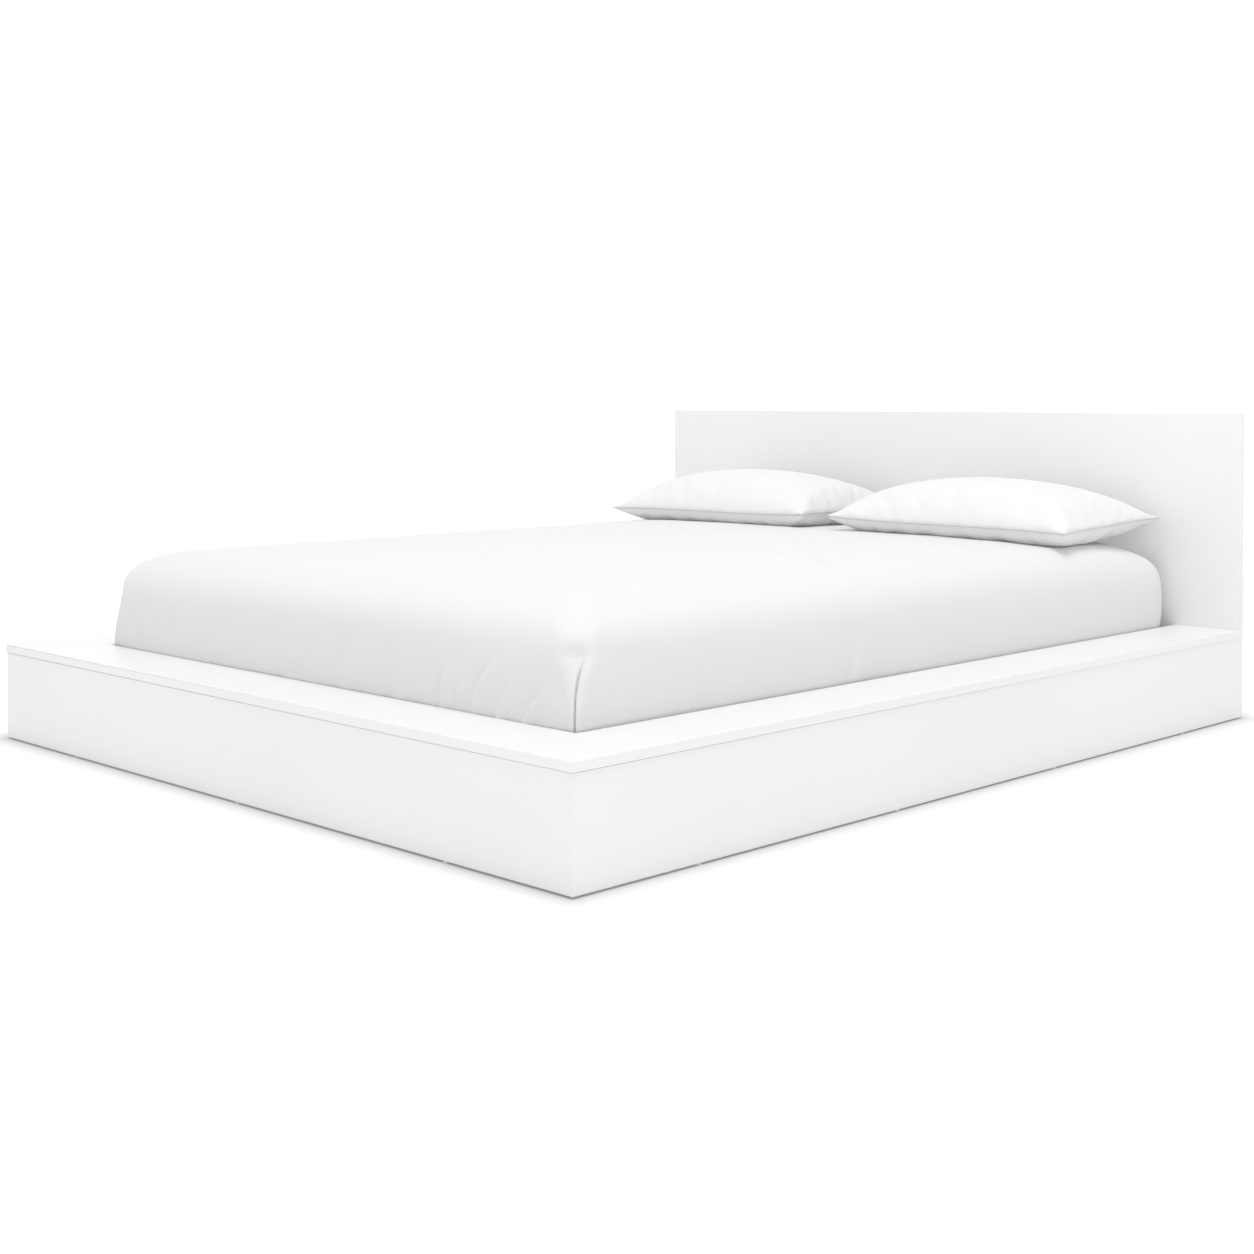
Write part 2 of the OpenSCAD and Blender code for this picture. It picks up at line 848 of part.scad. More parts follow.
// Columns of points on the foot side for its soft folds, as [distance from the corner's curve, depth]
fold_columns = [
    for (k = [1 : fold_count])
        let (x = (k - 0.4) * fold_pitch) each [[x - fold_w / 2, 0], [x, fold_depth], [x + fold_w / 2, 0]]
];
straight_half = cover_half_w - cover_corner_r;
function reversed(list) = [for (i = [len(list) - 1 : -1 : 0]) list[i]];

// A fold's depth at a level: whole up to the ledge, then less and less up to a height above it
function fold_push(depth, z, fade_h) = depth * max(0, 1 - max(0, z - ledge_top_z) / fade_h);

// The angles of a corner's points, with more of them round the tuck in the middle of a foot corner
head_turns = [for (i = [0 : arc_steps]) 90 * i / arc_steps];
foot_turns = [for (t = head_turns) each t == 45 ? [45 - tuck_turn, 45, 45 + tuck_turn] : [t]];

// A corner's points round its centre, from a start angle on, with the tuck's depth at its middle
function corner_arc(centre, start, turns, r, push) = [
    for (t = turns)
        let (reach = t == 45 ? r - push : r) centre + reach * [cos(start + t), sin(start + t)]
];

// One level of a mattress-shaped solid: a rounded rectangle with the foot side's tucks and folds
function bed_ring(half_x, half_y, r, z, folded) =
    let (
        cx = half_x - r,
        cy = half_y - r,
        tuck = folded ? fold_push(tuck_depth, z, tuck_h) : 0,
        left = [
            for (c = fold_columns) [
                -cx * (straight_half - c[0]) / straight_half,
                -half_y + (folded ? fold_push(c[1], z, fold_fade_h) : 0)
            ]
        ],
        outline = concat(
            corner_arc([cx, cy], 0, head_turns, r, 0),
            corner_arc([-cx, cy], 90, head_turns, r, 0),
            corner_arc([-cx, -cy], 180, foot_turns, r, tuck),
            left,
            [for (p = reversed(left)) [-p[0], p[1]]],
            corner_arc([cx, -cy], 270, foot_turns, r, tuck)
        )
    )
    [for (p = outline) [p[0], p[1] + mattress_y, z]];

// The mattress from its lower edge up, as [inset, height]
mattress_profile = concat(
    [for (i = [0 : foot_steps]) let (t = 90 * i / foot_steps)
        [mattress_foot_r * (1 - sin(t)), mattress_z + mattress_foot_r * (1 - cos(t))]],
    [for (i = [0 : edge_steps]) let (t = 90 * i / edge_steps)
        [mattress_edge_r * (1 - cos(t)), cover_shoulder_z + mattress_edge_r * sin(t)]]
);

// A ring of the mattress's surface, grown by a clearance
function mattress_ring(p, grow) = bed_ring(
    mattress_w / 2 - p[0] + grow,
    mattress_l / 2 - p[0] + grow,
    corner_r(mattress_corner_r, p[0]) + grow,
    p[1] + (p[0] > 0 ? grow : 0),
    false
);

module mattress() {
    color(ticking_color) loft(
        [0, mattress_y, mattress_z],
        [for (p = mattress_profile) mattress_ring(p, 0)],
        [0, mattress_y, mattress_top_z]
    );
}

// The coverlet's outer side from its lower edge up, as [inset, height]
bulge_h = cover_shoulder_z - ledge_top_z;
cover_profile = concat(
    [[0, cover_low_z]],
    [for (i = [0 : side_steps - 1]) let (f = i / side_steps) [-cover_bulge * sin(180 * f), ledge_top_z + f * bulge_h]],
    [for (i = [0 : edge_steps]) let (d = cover_edge_w * (1 - cos(90 * i / edge_steps)))
        [d, cover_shoulder_z + edge_rise(d) + crown_rise(d)]],
    [for (i = [1 : crown_steps]) let (d = cover_edge_w + i * (cover_crown_w - cover_edge_w) / crown_steps)
        [d, cover_shoulder_z + edge_rise(d) + crown_rise(d)]]
);

function cover_ring(p) = bed_ring(
    cover_half_w - p[0],
    cover_half_l - p[0],
    corner_r(cover_corner_r, p[0]),
    p[1],
    true
);

// The coverlet's inner side, from the top of the mattress down to its lower edge
cover_inner_profile = concat(
    reversed([for (p = mattress_profile) if (p[1] >= cover_shoulder_z) p]),
    [[0, cover_low_z]]
);

module coverlet() {
    top = cover_profile[len(cover_profile) - 1];
    color(cloth_color) loft(
        [0, mattress_y, mattress_top_z + soft_gap],
        concat(
            [for (p = cover_inner_profile) mattress_ring(p, soft_gap)],
            [for (p = cover_profile) cover_ring(p)]
        ),
        [0, mattress_y, top[1]]
    );
}

// A pillow's point for u and v from -1 to 1, on its top when up is true and else on its belly
function pillow_point(cx, u, v, up) =
    let (
        draw_x = pillow_draw * (1 - pow(v, draw_power)) * u * u * 2 / pillow_w,
        draw_y = pillow_draw * (1 - pow(u, draw_power)) * v * v * 2 / pillow_d,
        x = cx + pillow_w / 2 * u * (1 - draw_x),
        y = pillow_y + pillow_d / 2 * v * (1 - draw_y),
        body = (1 - u * u) * (1 - v * v),
        seam = pillow_seam_z + pillow_corner_lift * pow(abs(u * v), lift_power),
        crown = seam + pillow_crown * pow(body, crown_power),
        belly = seam - belly_slack * pillow_belly * pow(body, belly_power)
    )
    [x, y, up ? crown : max(belly, cover_top(x, y) + soft_gap)];

// One square ring of a pillow at a share s of the way from its middle to its seam
function pillow_ring(cx, s, up) =
    let (
        steps = [for (i = [0 : pillow_side - 1]) s * (2 * i / pillow_side - 1)],
        uv = concat(
            [for (t = steps) [t, -s]],
            [for (t = steps) [s, t]],
            [for (t = steps) [-t, s]],
            [for (t = steps) [-s, -t]]
        )
    )
    [for (p = uv) pillow_point(cx, p[0], p[1], up)];

// The rings crowd together near the seam, where the pillow curves most
function ring_share(i) = sin(90 * i / pillow_rings);

module pillow(cx) {
    color(cloth_color) loft(
        pillow_point(cx, 0, 0, false),
        concat(
            [for (i = [1 : pillow_rings]) pillow_ring(cx, ring_share(i), false)],
            [for (i = [pillow_rings - 1 : -1 : 1]) pillow_ring(cx, ring_share(i), true)]
        ),
        pillow_point(cx, 0, 0, true)
    );
}

foot_board();
side_board("left");  // side_board_left
side_board("right");  // side_board_right
rear_board();
ledge_foot();
ledge_side("left");  // ledge_left
ledge_side("right");  // ledge_right
rail_foot();
rail_side("left");  // rail_left
rail_side("right");  // rail_right
headboard();
for (i = [1 : rib_count]) {
    rib_side("left", i);
    rib_side("right", i);
    rib_foot(i);
}
corner_block("foot", "left");  // block_foot_left
corner_block("foot", "right");  // block_foot_right
corner_block("rear", "left");  // block_rear_left
corner_block("rear", "right");  // block_rear_right
ledger("left");  // ledger_left
ledger("right");  // ledger_right
centre_beam();
beam_hangers();
for (i = [1 : leg_count]) {
    centre_leg(i);
}
for (i = [1 : slat_count]) {
    slat(i);
}
joining_plates();
ledge_brackets();
mitre_splines();
dowels();
confirmat_screws();
wood_screws();
steel_screws();
leg_bolts();
floor_glides();
mattress();
coverlet();
pillow(pillow_left_x);  // pillow_left
pillow(pillow_right_x);  // pillow_right
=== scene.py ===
"""Floor bed: the finish of every piece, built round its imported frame.

The foot of the bed is towards -Y, the headboard towards +Y, and the floor is z = 0. Left and right are as
seen from the foot, looking at the headboard. Every length is in metres unless its name says otherwise.
"""

import json
import logging
import math
from dataclasses import dataclass, field
from enum import Enum
from typing import Callable, Iterable, Sequence

import bmesh
import bpy
import numpy as np
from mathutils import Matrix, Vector

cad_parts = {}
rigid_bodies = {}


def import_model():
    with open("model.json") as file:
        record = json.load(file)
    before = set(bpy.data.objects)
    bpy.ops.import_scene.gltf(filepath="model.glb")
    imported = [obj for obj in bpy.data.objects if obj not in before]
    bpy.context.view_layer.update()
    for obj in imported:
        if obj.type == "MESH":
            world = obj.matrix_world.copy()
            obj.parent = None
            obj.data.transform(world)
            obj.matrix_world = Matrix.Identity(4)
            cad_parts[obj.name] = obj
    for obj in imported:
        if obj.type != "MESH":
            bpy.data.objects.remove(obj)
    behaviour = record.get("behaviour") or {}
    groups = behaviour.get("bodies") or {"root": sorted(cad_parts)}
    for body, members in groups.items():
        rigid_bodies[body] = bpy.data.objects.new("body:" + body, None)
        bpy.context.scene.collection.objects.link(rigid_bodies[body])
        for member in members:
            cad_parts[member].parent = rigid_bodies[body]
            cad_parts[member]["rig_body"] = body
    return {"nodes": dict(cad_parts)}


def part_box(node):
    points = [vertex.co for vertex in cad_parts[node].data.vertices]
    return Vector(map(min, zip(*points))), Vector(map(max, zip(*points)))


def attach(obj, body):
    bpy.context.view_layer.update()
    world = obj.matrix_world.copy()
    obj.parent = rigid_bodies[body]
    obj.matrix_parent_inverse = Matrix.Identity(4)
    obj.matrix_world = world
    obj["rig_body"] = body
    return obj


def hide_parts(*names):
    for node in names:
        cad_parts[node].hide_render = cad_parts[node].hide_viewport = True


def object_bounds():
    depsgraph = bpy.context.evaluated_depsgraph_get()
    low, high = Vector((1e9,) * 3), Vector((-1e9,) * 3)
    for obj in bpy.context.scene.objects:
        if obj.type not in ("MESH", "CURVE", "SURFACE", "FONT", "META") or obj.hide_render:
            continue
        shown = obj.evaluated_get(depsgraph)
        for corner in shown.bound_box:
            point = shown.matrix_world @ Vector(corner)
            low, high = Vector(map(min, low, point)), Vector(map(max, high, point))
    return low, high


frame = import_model()
CAD_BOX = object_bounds()
LOG = logging.getLogger("floor_bed")
MM = 0.001
CUT_MAP = "cut"
Colour = tuple[float, float, float]
Array = np.ndarray


# Shader maths


class Value:
    """A shader value: a socket that can be used in Python expressions, each of which adds its nodes."""

    def __init__(self, shader: "Shader", socket: bpy.types.NodeSocket) -> None:
        """Wraps an output socket of a shader's tree."""
        self.shader = shader
        self.socket = socket

    def maths(self, operation: str, *others: "Value | float", first: bool = True) -> "Value":
        """The result of a Math node, in which this value is the first operand or else the last."""
        operands = [self, *others] if first else [*others, self]
        return self.shader.node("Math", {"operation": operation}, dict(enumerate(operands)))

    def __add__(self, other: "Value | float") -> "Value":
        """This value plus another."""
        return self.maths("ADD", other)

    __radd__ = __add__

    def __mul__(self, other: "Value | float") -> "Value":
        """This value times another."""
        return self.maths("MULTIPLY", other)

    __rmul__ = __mul__

    def __sub__(self, other: "Value | float") -> "Value":
        """This value less another."""
        return self.maths("SUBTRACT", other)

    def __rsub__(self, other: "Value | float") -> "Value":
        """Another value less this one."""
        return self.maths("SUBTRACT", other, first=False)

    def __truediv__(self, other: "Value | float") -> "Value":
        """This value divided by another."""
        return self.maths("DIVIDE", other)

    def __pow__(self, other: "Value | float") -> "Value":
        """This value to a power."""
        return self.maths("POWER", other)

    def sine(self) -> "Value":
        """The sine of this value, in radians."""
        return self.maths("SINE")

    def clamped(self) -> "Value":
        """This value held between 0 and 1."""
        return self.maths("MAXIMUM", 0.0).maths("MINIMUM", 1.0)


class Shades(Enum):
    """What a shader belongs to."""

    MATERIAL = "Material"
    WORLD = "World"


class Shader:
    """One material, or the world's light, under construction."""

    def __init__(self, name: str, shades: Shades = Shades.MATERIAL) -> None:
        """Makes an empty tree of nodes.

        Args:
            name: The material's or the world's name.
            shades: Which of the two it is.
        """
        self.shades = shades
        self.owner = (bpy.data.worlds if shades is Shades.WORLD else bpy.data.materials).new(name)
        self.owner.use_nodes = True
        self.tree = self.owner.node_tree
        self.tree.nodes.clear()

    def node(
        self, kind: str, settings: dict | None = None, inputs: dict | None = None, output: int | str = 0
    ) -> Value:
        """Adds a node.

        Args:
            kind: The node's type without its ShaderNode prefix.
            settings: Properties to set first.
            inputs: Values or links by socket name or number.
            output: The output to hand back, by name or number.

        Returns:
            The chosen output.
        """
        made = self.tree.nodes.new("ShaderNode" + kind)
        for name, value in (settings or {}).items():
            setattr(made, name, value)
        for name, value in (inputs or {}).items():
            if isinstance(value, Value):
                self.tree.links.new(value.socket, made.inputs[name])
            else:
                made.inputs[name].default_value = value
        return Value(self, made.outputs[output])

    def place(self, stretch: Sequence[float] = (1.0, 1.0, 1.0)) -> Value:
        """The point on the piece in the bed's own frame, in metres.

        Args:
            stretch: Factors along X, Y and Z.

        Returns:
            A vector value.
        """
        at = self.node("TexCoord", output="Object")
        if tuple(stretch) == (1.0, 1.0, 1.0):
            return at
        return self.node("Mapping", inputs={"Vector": at, "Scale": tuple(stretch)})

    def parts(self, vector: Value) -> list[Value]:
        """A vector's three numbers."""
        node = self.node("SeparateXYZ", inputs={"Vector": vector}).socket.node
        return [Value(self, output) for output in node.outputs]

    def noise(self, at: Value, scale: float, detail: float = 2.0, distortion: float = 0.0) -> Value:
        """Noise from 0 to 1 at a place, with so many cells per metre and octaves, warped by so much."""
        inputs = {"Vector": at, "Scale": scale, "Detail": detail, "Distortion": distortion}
        return self.node("TexNoise", inputs=inputs)

    def mix(self, share: "Value | float", low: "Value | Colour", high: "Value | Colour") -> Value:
        """A colour between two: a share of 0 gives the low one and 1 the high one."""
        ends = [c if isinstance(c, Value) else (*c, 1.0) for c in (low, high)]
        return self.node("Mix", {"data_type": "RGBA"}, {0: share, 6: ends[0], 7: ends[1]}, 2)

    def bump(self, height: Value, distance: float, strength: float, normal: Value | None = None) -> Value:
        """Turns a height into a normal.

        Args:
            height: Height from 0 to 1.
            distance: What a height of 1 stands for, in metres.
            strength: How much of it shows.
            normal: A normal to build on.

        Returns:
            A normal.
        """
        inputs = {"Height": height, "Distance": distance, "Strength": strength}
        if normal is not None:
            inputs["Normal"] = normal
        return self.node("Bump", inputs=inputs)

    def finish(self, **sockets: "Value | float | Sequence[float]") -> bpy.types.Material:
        """Ends the material in a Principled shader, whose inputs have an underscore for each space."""
        inputs = {name.replace("_", " "): value for name, value in sockets.items()}
        return self.end(self.node("BsdfPrincipled", inputs=inputs))

    def end(self, surface: Value) -> bpy.types.Material | bpy.types.World:
        """Links a surface to the output.

        Args:
            surface: What the material or the world ends in.

        Returns:
            The material or the world.
        """
        output = self.tree.nodes.new("ShaderNodeOutput" + self.shades.value)
        self.tree.links.new(surface.socket, output.inputs["Surface"])
        return self.owner


# Finishes


class Grain(Enum):
    """Which way a piece's wood grain runs."""

    ALONG_X = 0
    ALONG_Y = 1
    ALONG_Z = 2


@dataclass(frozen=True)
class Lacquer:
    """Satin white paint on a smooth board."""

    name: str = "white_lacquer"
    colour: Colour = (0.79, 0.79, 0.786)
    shade: Colour = (0.765, 0.765, 0.762)
    roughness: float = 0.36
    roughness_range: float = 0.12

    def material(self) -> bpy.types.Material:
        """Builds the paint, with the faint ripple of a sprayed coat and slight changes of gloss.

        Returns:
            The material.
        """
        s = Shader(self.name)
        at = s.place()
        cloud = s.noise(at, scale=1.7, detail=3.0)
        handling = s.noise(at, scale=9.0, detail=4.0, distortion=0.6)
        ripple = s.noise(at, scale=420.0, detail=1.5)
        drift = s.noise(at, scale=14.0)
        spray = s.bump(ripple, distance=0.03 * MM, strength=0.6)
        return s.finish(
            Base_Color=s.mix((cloud * 1.6 - 0.3).clamped(), self.colour, self.shade),
            Roughness=handling * self.roughness_range + (self.roughness - self.roughness_range / 2),
            Normal=s.bump(drift, distance=0.25 * MM, strength=0.5, normal=spray),
            Specular_IOR_Level=0.45,
        )


@dataclass(frozen=True)
class Chipboard:
    """Raw pressed board, flakes of wood in a darker bed."""

    name: str = "raw_chipboard"
    light: Colour = (0.62, 0.47, 0.30)
    dark: Colour = (0.36, 0.24, 0.13)
    flakes_per_m: float = 260.0
    flatness: float = 2.6

    def material(self) -> bpy.types.Material:
        """Builds the board's flakes and its rough face.

        Returns:
            The material.
        """
        s = Shader(self.name)
        where = s.place((1.0, 1.0, self.flatness))
        flakes = s.node("TexVoronoi", inputs={"Vector": where, "Scale": self.flakes_per_m}, output="Color")
        tone = s.node("SeparateColor", inputs={"Color": flakes})
        crumbs = s.noise(s.place(), scale=700.0, detail=3.0)
        return s.finish(
            Base_Color=s.mix((tone * 0.7 + crumbs * 0.5 - 0.1).clamped(), self.dark, self.light),
            Roughness=0.86 - tone * 0.1,
            Normal=s.bump(tone * 0.6 + crumbs * 0.4, distance=0.25 * MM, strength=0.7),
        )


@dataclass(frozen=True)
class Timber:
    """Planed softwood or hardwood with its rings, rays and pores."""

    name: str
    grain: Grain
    early: Colour
    late: Colour
    rings_per_m: float = 260.0
    contrast: float = 0.55
    wander: float = 9.0
    wander_w: float = 22 * MM
    pith: tuple[float, float] = (0.31, 0.047)

    def material(self) -> bpy.types.Material:
        """Builds rings round a pith beside the piece, fibres along the grain and end grain at the ends.

        Returns:
            The material.
        """
        s = Shader(self.name)
        along = self.grain.value
        stretch = [1.0, 1.0, 1.0]
        stretch[along] = 0.06
        at = s.place(stretch)
        across = [part for i, part in enumerate(s.parts(at)) if i != along]
        sway = s.noise(at, self.wander, detail=3.0, distortion=0.4)
        radius = ((across[0] + self.pith[0]) ** 2.0 + (across[1] + self.pith[1]) ** 2.0) ** 0.5
        ring = ((radius + sway * self.wander_w) * (self.rings_per_m * math.tau)).sine() * 0.5 + 0.5
        late = (ring**3.0) * self.contrast
        stretch[along] = 0.02
        fibre = s.noise(s.place(stretch), scale=900.0, detail=3.0)
        blotch = s.noise(at, scale=4.0)
        share = (late + (fibre - 0.5) * 0.35 + (blotch - 0.5) * 0.3 + 0.12).clamped()
        return s.finish(
            Base_Color=s.mix(share, self.early, self.late),
            Roughness=fibre * 0.2 + 0.55,
            Normal=s.bump(late * 0.6 + fibre * 0.4, distance=0.12 * MM, strength=0.8),
            Specular_IOR_Level=0.35,
        )


@dataclass(frozen=True)
class Zinc:
    """Bright zinc plating on pressed or turned steel."""

    name: str
    colour: Colour = (0.66, 0.67, 0.69)
    roughness: float = 0.34
    lines_per_m: float = 1200.0
    dulling: float = 0.84

    def material(self) -> bpy.types.Material:
        """Builds the plating's faint spangle, rolling lines and dull patches.

        Returns:
            The material.
        """
        s = Shader(self.name)
        lines = s.noise(s.place((1.0, 1.0, 0.04)), self.lines_per_m)
        spangle = s.node("TexVoronoi", inputs={"Vector": s.place(), "Scale": 180.0}, output="Distance")
        dull = s.noise(s.place(), scale=35.0, detail=3.0)
        darker = tuple(c * self.dulling for c in self.colour)
        return s.finish(
            Base_Color=s.mix((spangle * 0.7 + dull * 0.4).clamped(), self.colour, darker),
            Metallic=1.0,
            Roughness=lines * 0.16 + dull * 0.18 + (self.roughness - 0.12),
            Normal=s.bump(lines, distance=0.02 * MM, strength=0.6),
        )


@dataclass(frozen=True)
class Nylon:
    """Moulded off-white plastic."""

    name: str = "moulded_nylon"
    colour: Colour = (0.70, 0.70, 0.68)
    wear: float = 0.86

    def material(self) -> bpy.types.Material:
        """Builds the moulding's fine texture and scuffs.

        Returns:
            The material.
        """
        s = Shader(self.name)
        texture = s.noise(s.place(), scale=1500.0)
        scuff = s.noise(s.place(), scale=120.0, detail=4.0, distortion=1.0)
        worn = tuple(c * self.wear for c in self.colour)
        return s.finish(
            Base_Color=s.mix((scuff * 1.8 - 0.7).clamped(), self.colour, worn),
            Roughness=scuff * 0.25 + 0.35,
            Normal=s.bump(texture, distance=0.03 * MM, strength=0.7),
        )


@dataclass(frozen=True)
class Cotton:
    """Woven cloth whose threads follow the cut, given by the piece's own map in metres."""

    name: str
    colour: Colour
    shade: Colour
    thread: float = 0.5 * MM
    relief: float = 0.09 * MM
    crumple: float = 0.5 * MM
    sheen: float = 0.3
    stripe: float = 0.0
    slub_stretches: tuple[tuple[float, float, float], ...] = ((12.0, 900.0, 1.0), (900.0, 12.0, 1.0))

    def material(self) -> bpy.types.Material:
        """Builds the weave, its uneven threads, soft crumples and, on ticking, narrow woven stripes.

        Returns:
            The material.
        """
        s = Shader(self.name)
        cut = s.node("UVMap", {"uv_map": CUT_MAP})
        warp, weft, _ = s.parts(cut)
        turns = math.tau / self.thread
        weave = (warp * turns).sine() * (weft * turns).sine() * 0.5 + 0.5
        slubs = []
        for stretch in self.slub_stretches:
            where = s.node("Mapping", inputs={"Vector": cut, "Scale": stretch})
            slubs.append(s.noise(where, scale=1.0))
        slub = slubs[0] * 0.5 + slubs[1] * 0.5
        crease = s.noise(s.place(), scale=16.0, detail=5.0, distortion=0.5)
        cloud = s.noise(s.place(), scale=3.0)
        # The weave's valleys are painted a little darker, which is painted shade between the threads; the
        # slubs and clouds are the threads' own uneven tone.
        tone = (slub * 0.5 + (1.0 - weave) * 0.25 + cloud * 0.35 - 0.25).clamped()
        if self.stripe:
            band = (warp * (math.tau / self.stripe)).sine() * 0.5 + 0.5
            tone = (tone + (band**12.0) * 0.7).clamped()
        fine = s.bump(weave * 0.6 + slub * 0.4, self.relief, strength=0.7)
        return s.finish(
            Base_Color=s.mix(tone, self.colour, self.shade),
            Roughness=0.9 - slub * 0.12,
            Normal=s.bump(crease, self.crumple, strength=0.6, normal=fine),
            Sheen_Weight=self.sheen,
            Sheen_Roughness=0.45,
            Specular_IOR_Level=0.25,
        )


PINE = dict(early=(0.73, 0.53, 0.30), late=(0.50, 0.28, 0.11))
BEECH = dict(early=(0.62, 0.42, 0.25), late=(0.47, 0.28, 0.14), rings_per_m=420.0, contrast=0.3, wander=14.0)
FINISHES = {
    "lacquer": Lacquer(),
    "chipboard": Chipboard(),
    "pine_x": Timber("pine_across", Grain.ALONG_X, **PINE),
    "pine_y": Timber("pine_lengthways", Grain.ALONG_Y, **PINE),
    "pine_z": Timber("pine_upright", Grain.ALONG_Z, **PINE),
    "beech": Timber("beech_pegs", Grain.ALONG_X, **BEECH),
    "zinc_sheet": Zinc("zinc_sheet"),
    "zinc_screw": Zinc("zinc_screws", (0.60, 0.61, 0.63), roughness=0.30, lines_per_m=1800.0),
    "nylon": Nylon(),
    "ticking": Cotton("ticking", (0.80, 0.77, 0.71), (0.62, 0.59, 0.53), 0.7 * MM, 0.12 * MM, stripe=14 * MM),
    "coverlet": Cotton("coverlet_cotton", (0.705, 0.705, 0.705), (0.665, 0.665, 0.665)),
    # The piping's dark grey is painted shade: it draws the shadow line along the pillows' seams.
    "piping": Cotton("piping_cotton_painted_shade", (0.55, 0.55, 0.55), (0.48, 0.48, 0.48), 0.4 * MM),
    "pillow": Cotton("pillow_cotton", (0.73, 0.73, 0.73), (0.695, 0.695, 0.695), 0.4 * MM, crumple=0.35 * MM),
}
_made: dict[str, bpy.types.Material] = {}


def paint(piece: bpy.types.Object, finish: str) -> bpy.types.Object:
    """Gives a piece one finish all over.

    Args:
        piece: A mesh.
        finish: A name in FINISHES.

    Returns:
        The piece.
    """
    if finish not in _made:
        _made[finish] = FINISHES[finish].material()
    piece.data.materials.clear()
    piece.data.materials.append(_made[finish])
    return piece


def new_piece(name: str, mesh: bpy.types.Mesh) -> bpy.types.Object:
    """Puts a mesh in the scene.

    Args:
        name: The piece's name.
        mesh: Its mesh.

    Returns:
        The piece.
    """
    piece = bpy.data.objects.new(name, mesh)
    bpy.context.scene.collection.objects.link(piece)
    return piece


def report(piece: bpy.types.Object) -> None:
    """Logs a finished piece."""
    LOG.info("%s: %d faces", piece.name, len(piece.data.polygons))


# Boards


@dataclass
class Joinery:
    """The white boards: base, ledge, recess walls and headboard, with eased edges."""

    ease: float = 1.0 * MM
    long_edge: float = 15 * MM
    steps: int = 3
    merge: float = 0.005 * MM
    flat_angle_deg: float = 1.0
    sharp_angle_deg: float = 60.0
    squareness: float = 0.999
    boards: tuple[tuple[str, str], ...] = (
        ("foot_board", "foot_panel"), ("side_board_left", "side_panel_left"),
        ("side_board_right", "side_panel_right"), ("rear_board", "rear_panel"),
        ("ledge_foot", "ledge_top_foot"), ("ledge_left", "ledge_top_left"),
        ("ledge_right", "ledge_top_right"), ("rail_foot", "recess_wall_foot"),
        ("rail_left", "recess_wall_left"), ("rail_right", "recess_wall_right"),
        ("headboard", "headboard_panel"),
    )

    def build(self) -> list[bpy.types.Object]:
        """Builds every white board."""
        return [self.board(node, name, "lacquer", self.ease) for node, name in self.boards]

    def board(self, node: str, name: str, finish: str, ease: float) -> bpy.types.Object:
        """Builds one board from its solid, keeping its holes and easing its long edges.

        Args:
            node: The solid's name.
            name: The new piece's name.
            finish: The finish's name.
            ease: The radius of the edges.

        Returns:
            The board, which stands for its solid.
        """
        solid = frame["nodes"][node]
        bm = bmesh.new()
        bm.from_mesh(solid.data)
        bmesh.ops.remove_doubles(bm, verts=bm.verts, dist=self.merge)
        flat_angle = math.radians(self.flat_angle_deg)
        bmesh.ops.dissolve_limit(bm, angle_limit=flat_angle, verts=bm.verts, edges=bm.edges)
        bm.normal_update()
        flat = set(bm.faces)
        made = bmesh.ops.bevel(
            bm, geom=[e for e in bm.edges if self.is_outer(e)], offset=ease, offset_type="OFFSET",
            segments=self.steps, profile=0.5, affect="EDGES", clamp_overlap=False, miter_outer="SHARP",
        )
        for face in made["faces"]:
            face.smooth = face not in flat
        for face in flat:
            if face.is_valid:
                face.smooth = False
        mesh = bpy.data.meshes.new(name)
        bm.to_mesh(mesh)
        bm.free()
        piece = paint(new_piece(name, mesh), finish)
        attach(piece, solid["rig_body"])
        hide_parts(node)
        return piece

    def is_outer(self, edge: bmesh.types.BMEdge) -> bool:
        """Whether an edge is a long square one, and not part of a mitre, a hole or a flat face.

        Args:
            edge: The edge.

        Returns:
            True where it is to be eased.
        """
        if len(edge.link_faces) != 2 or edge.calc_length() < self.long_edge:
            return False
        square = all(max(abs(c) for c in face.normal) > self.squareness for face in edge.link_faces)
        return square and edge.calc_face_angle() > math.radians(self.sharp_angle_deg)


@dataclass
class SlattedBase:
    """The slats, the beam and strips that carry them, and the legs, in planed pine with softened edges."""

    slat_count: int = 13
    leg_count: int = 3
    slat_ease: float = 2.5 * MM
    post_ease: float = 1.5 * MM

    def build(self, joinery: Joinery) -> list[bpy.types.Object]:
        """Builds the slatted base.

        Args:
            joinery: What makes a board from its solid.

        Returns:
            The pieces.
        """
        slats = [(f"slat_{i}", f"pine_slat_{i}", "pine_x") for i in range(1, self.slat_count + 1)]
        posts = []
        for side in ("left", "right"):
            posts.append((f"ledger_{side}", f"slat_strip_{side}", "pine_y"))
            for end in ("foot", "rear"):
                posts.append((f"block_{end}_{side}", f"corner_post_{end}_{side}", "pine_z"))
        posts.append(("centre_beam", "middle_beam", "pine_y"))
        posts += [(f"centre_leg_{i}", f"beam_leg_{i}", "pine_z") for i in range(1, self.leg_count + 1)]
        softened = ((slats, self.slat_ease), (posts, self.post_ease))
        return [joinery.board(*names, ease) for group, ease in softened for names in group]


@dataclass
class Hardware:
    """What keeps its own solid: ribs, steel fittings, screws, pegs and glides, each with its finish."""

    finishes: tuple[tuple[str, tuple[str, ...]], ...] = (
        ("chipboard", ("rib_",)),
        ("zinc_sheet", ("beam_hangers", "joining_plates", "ledge_brackets")),
        ("zinc_screw", ("confirmat_screws", "wood_screws", "steel_screws", "leg_bolts")),
        ("beech", ("mitre_splines", "dowels")),
        ("nylon", ("floor_glides",)),
    )

    def dress(self) -> list[bpy.types.Object]:
        """Gives each of these solids its finish.

        Returns:
            The solids.
        """
        made = []
        for node, solid in sorted(frame["nodes"].items()):
            for finish, starts in self.finishes:
                if node.startswith(starts):
                    made.append(paint(solid, finish))
        return made


# Cloth


Faces = list[tuple[int, ...]]
Profile = list[tuple[float, float]]


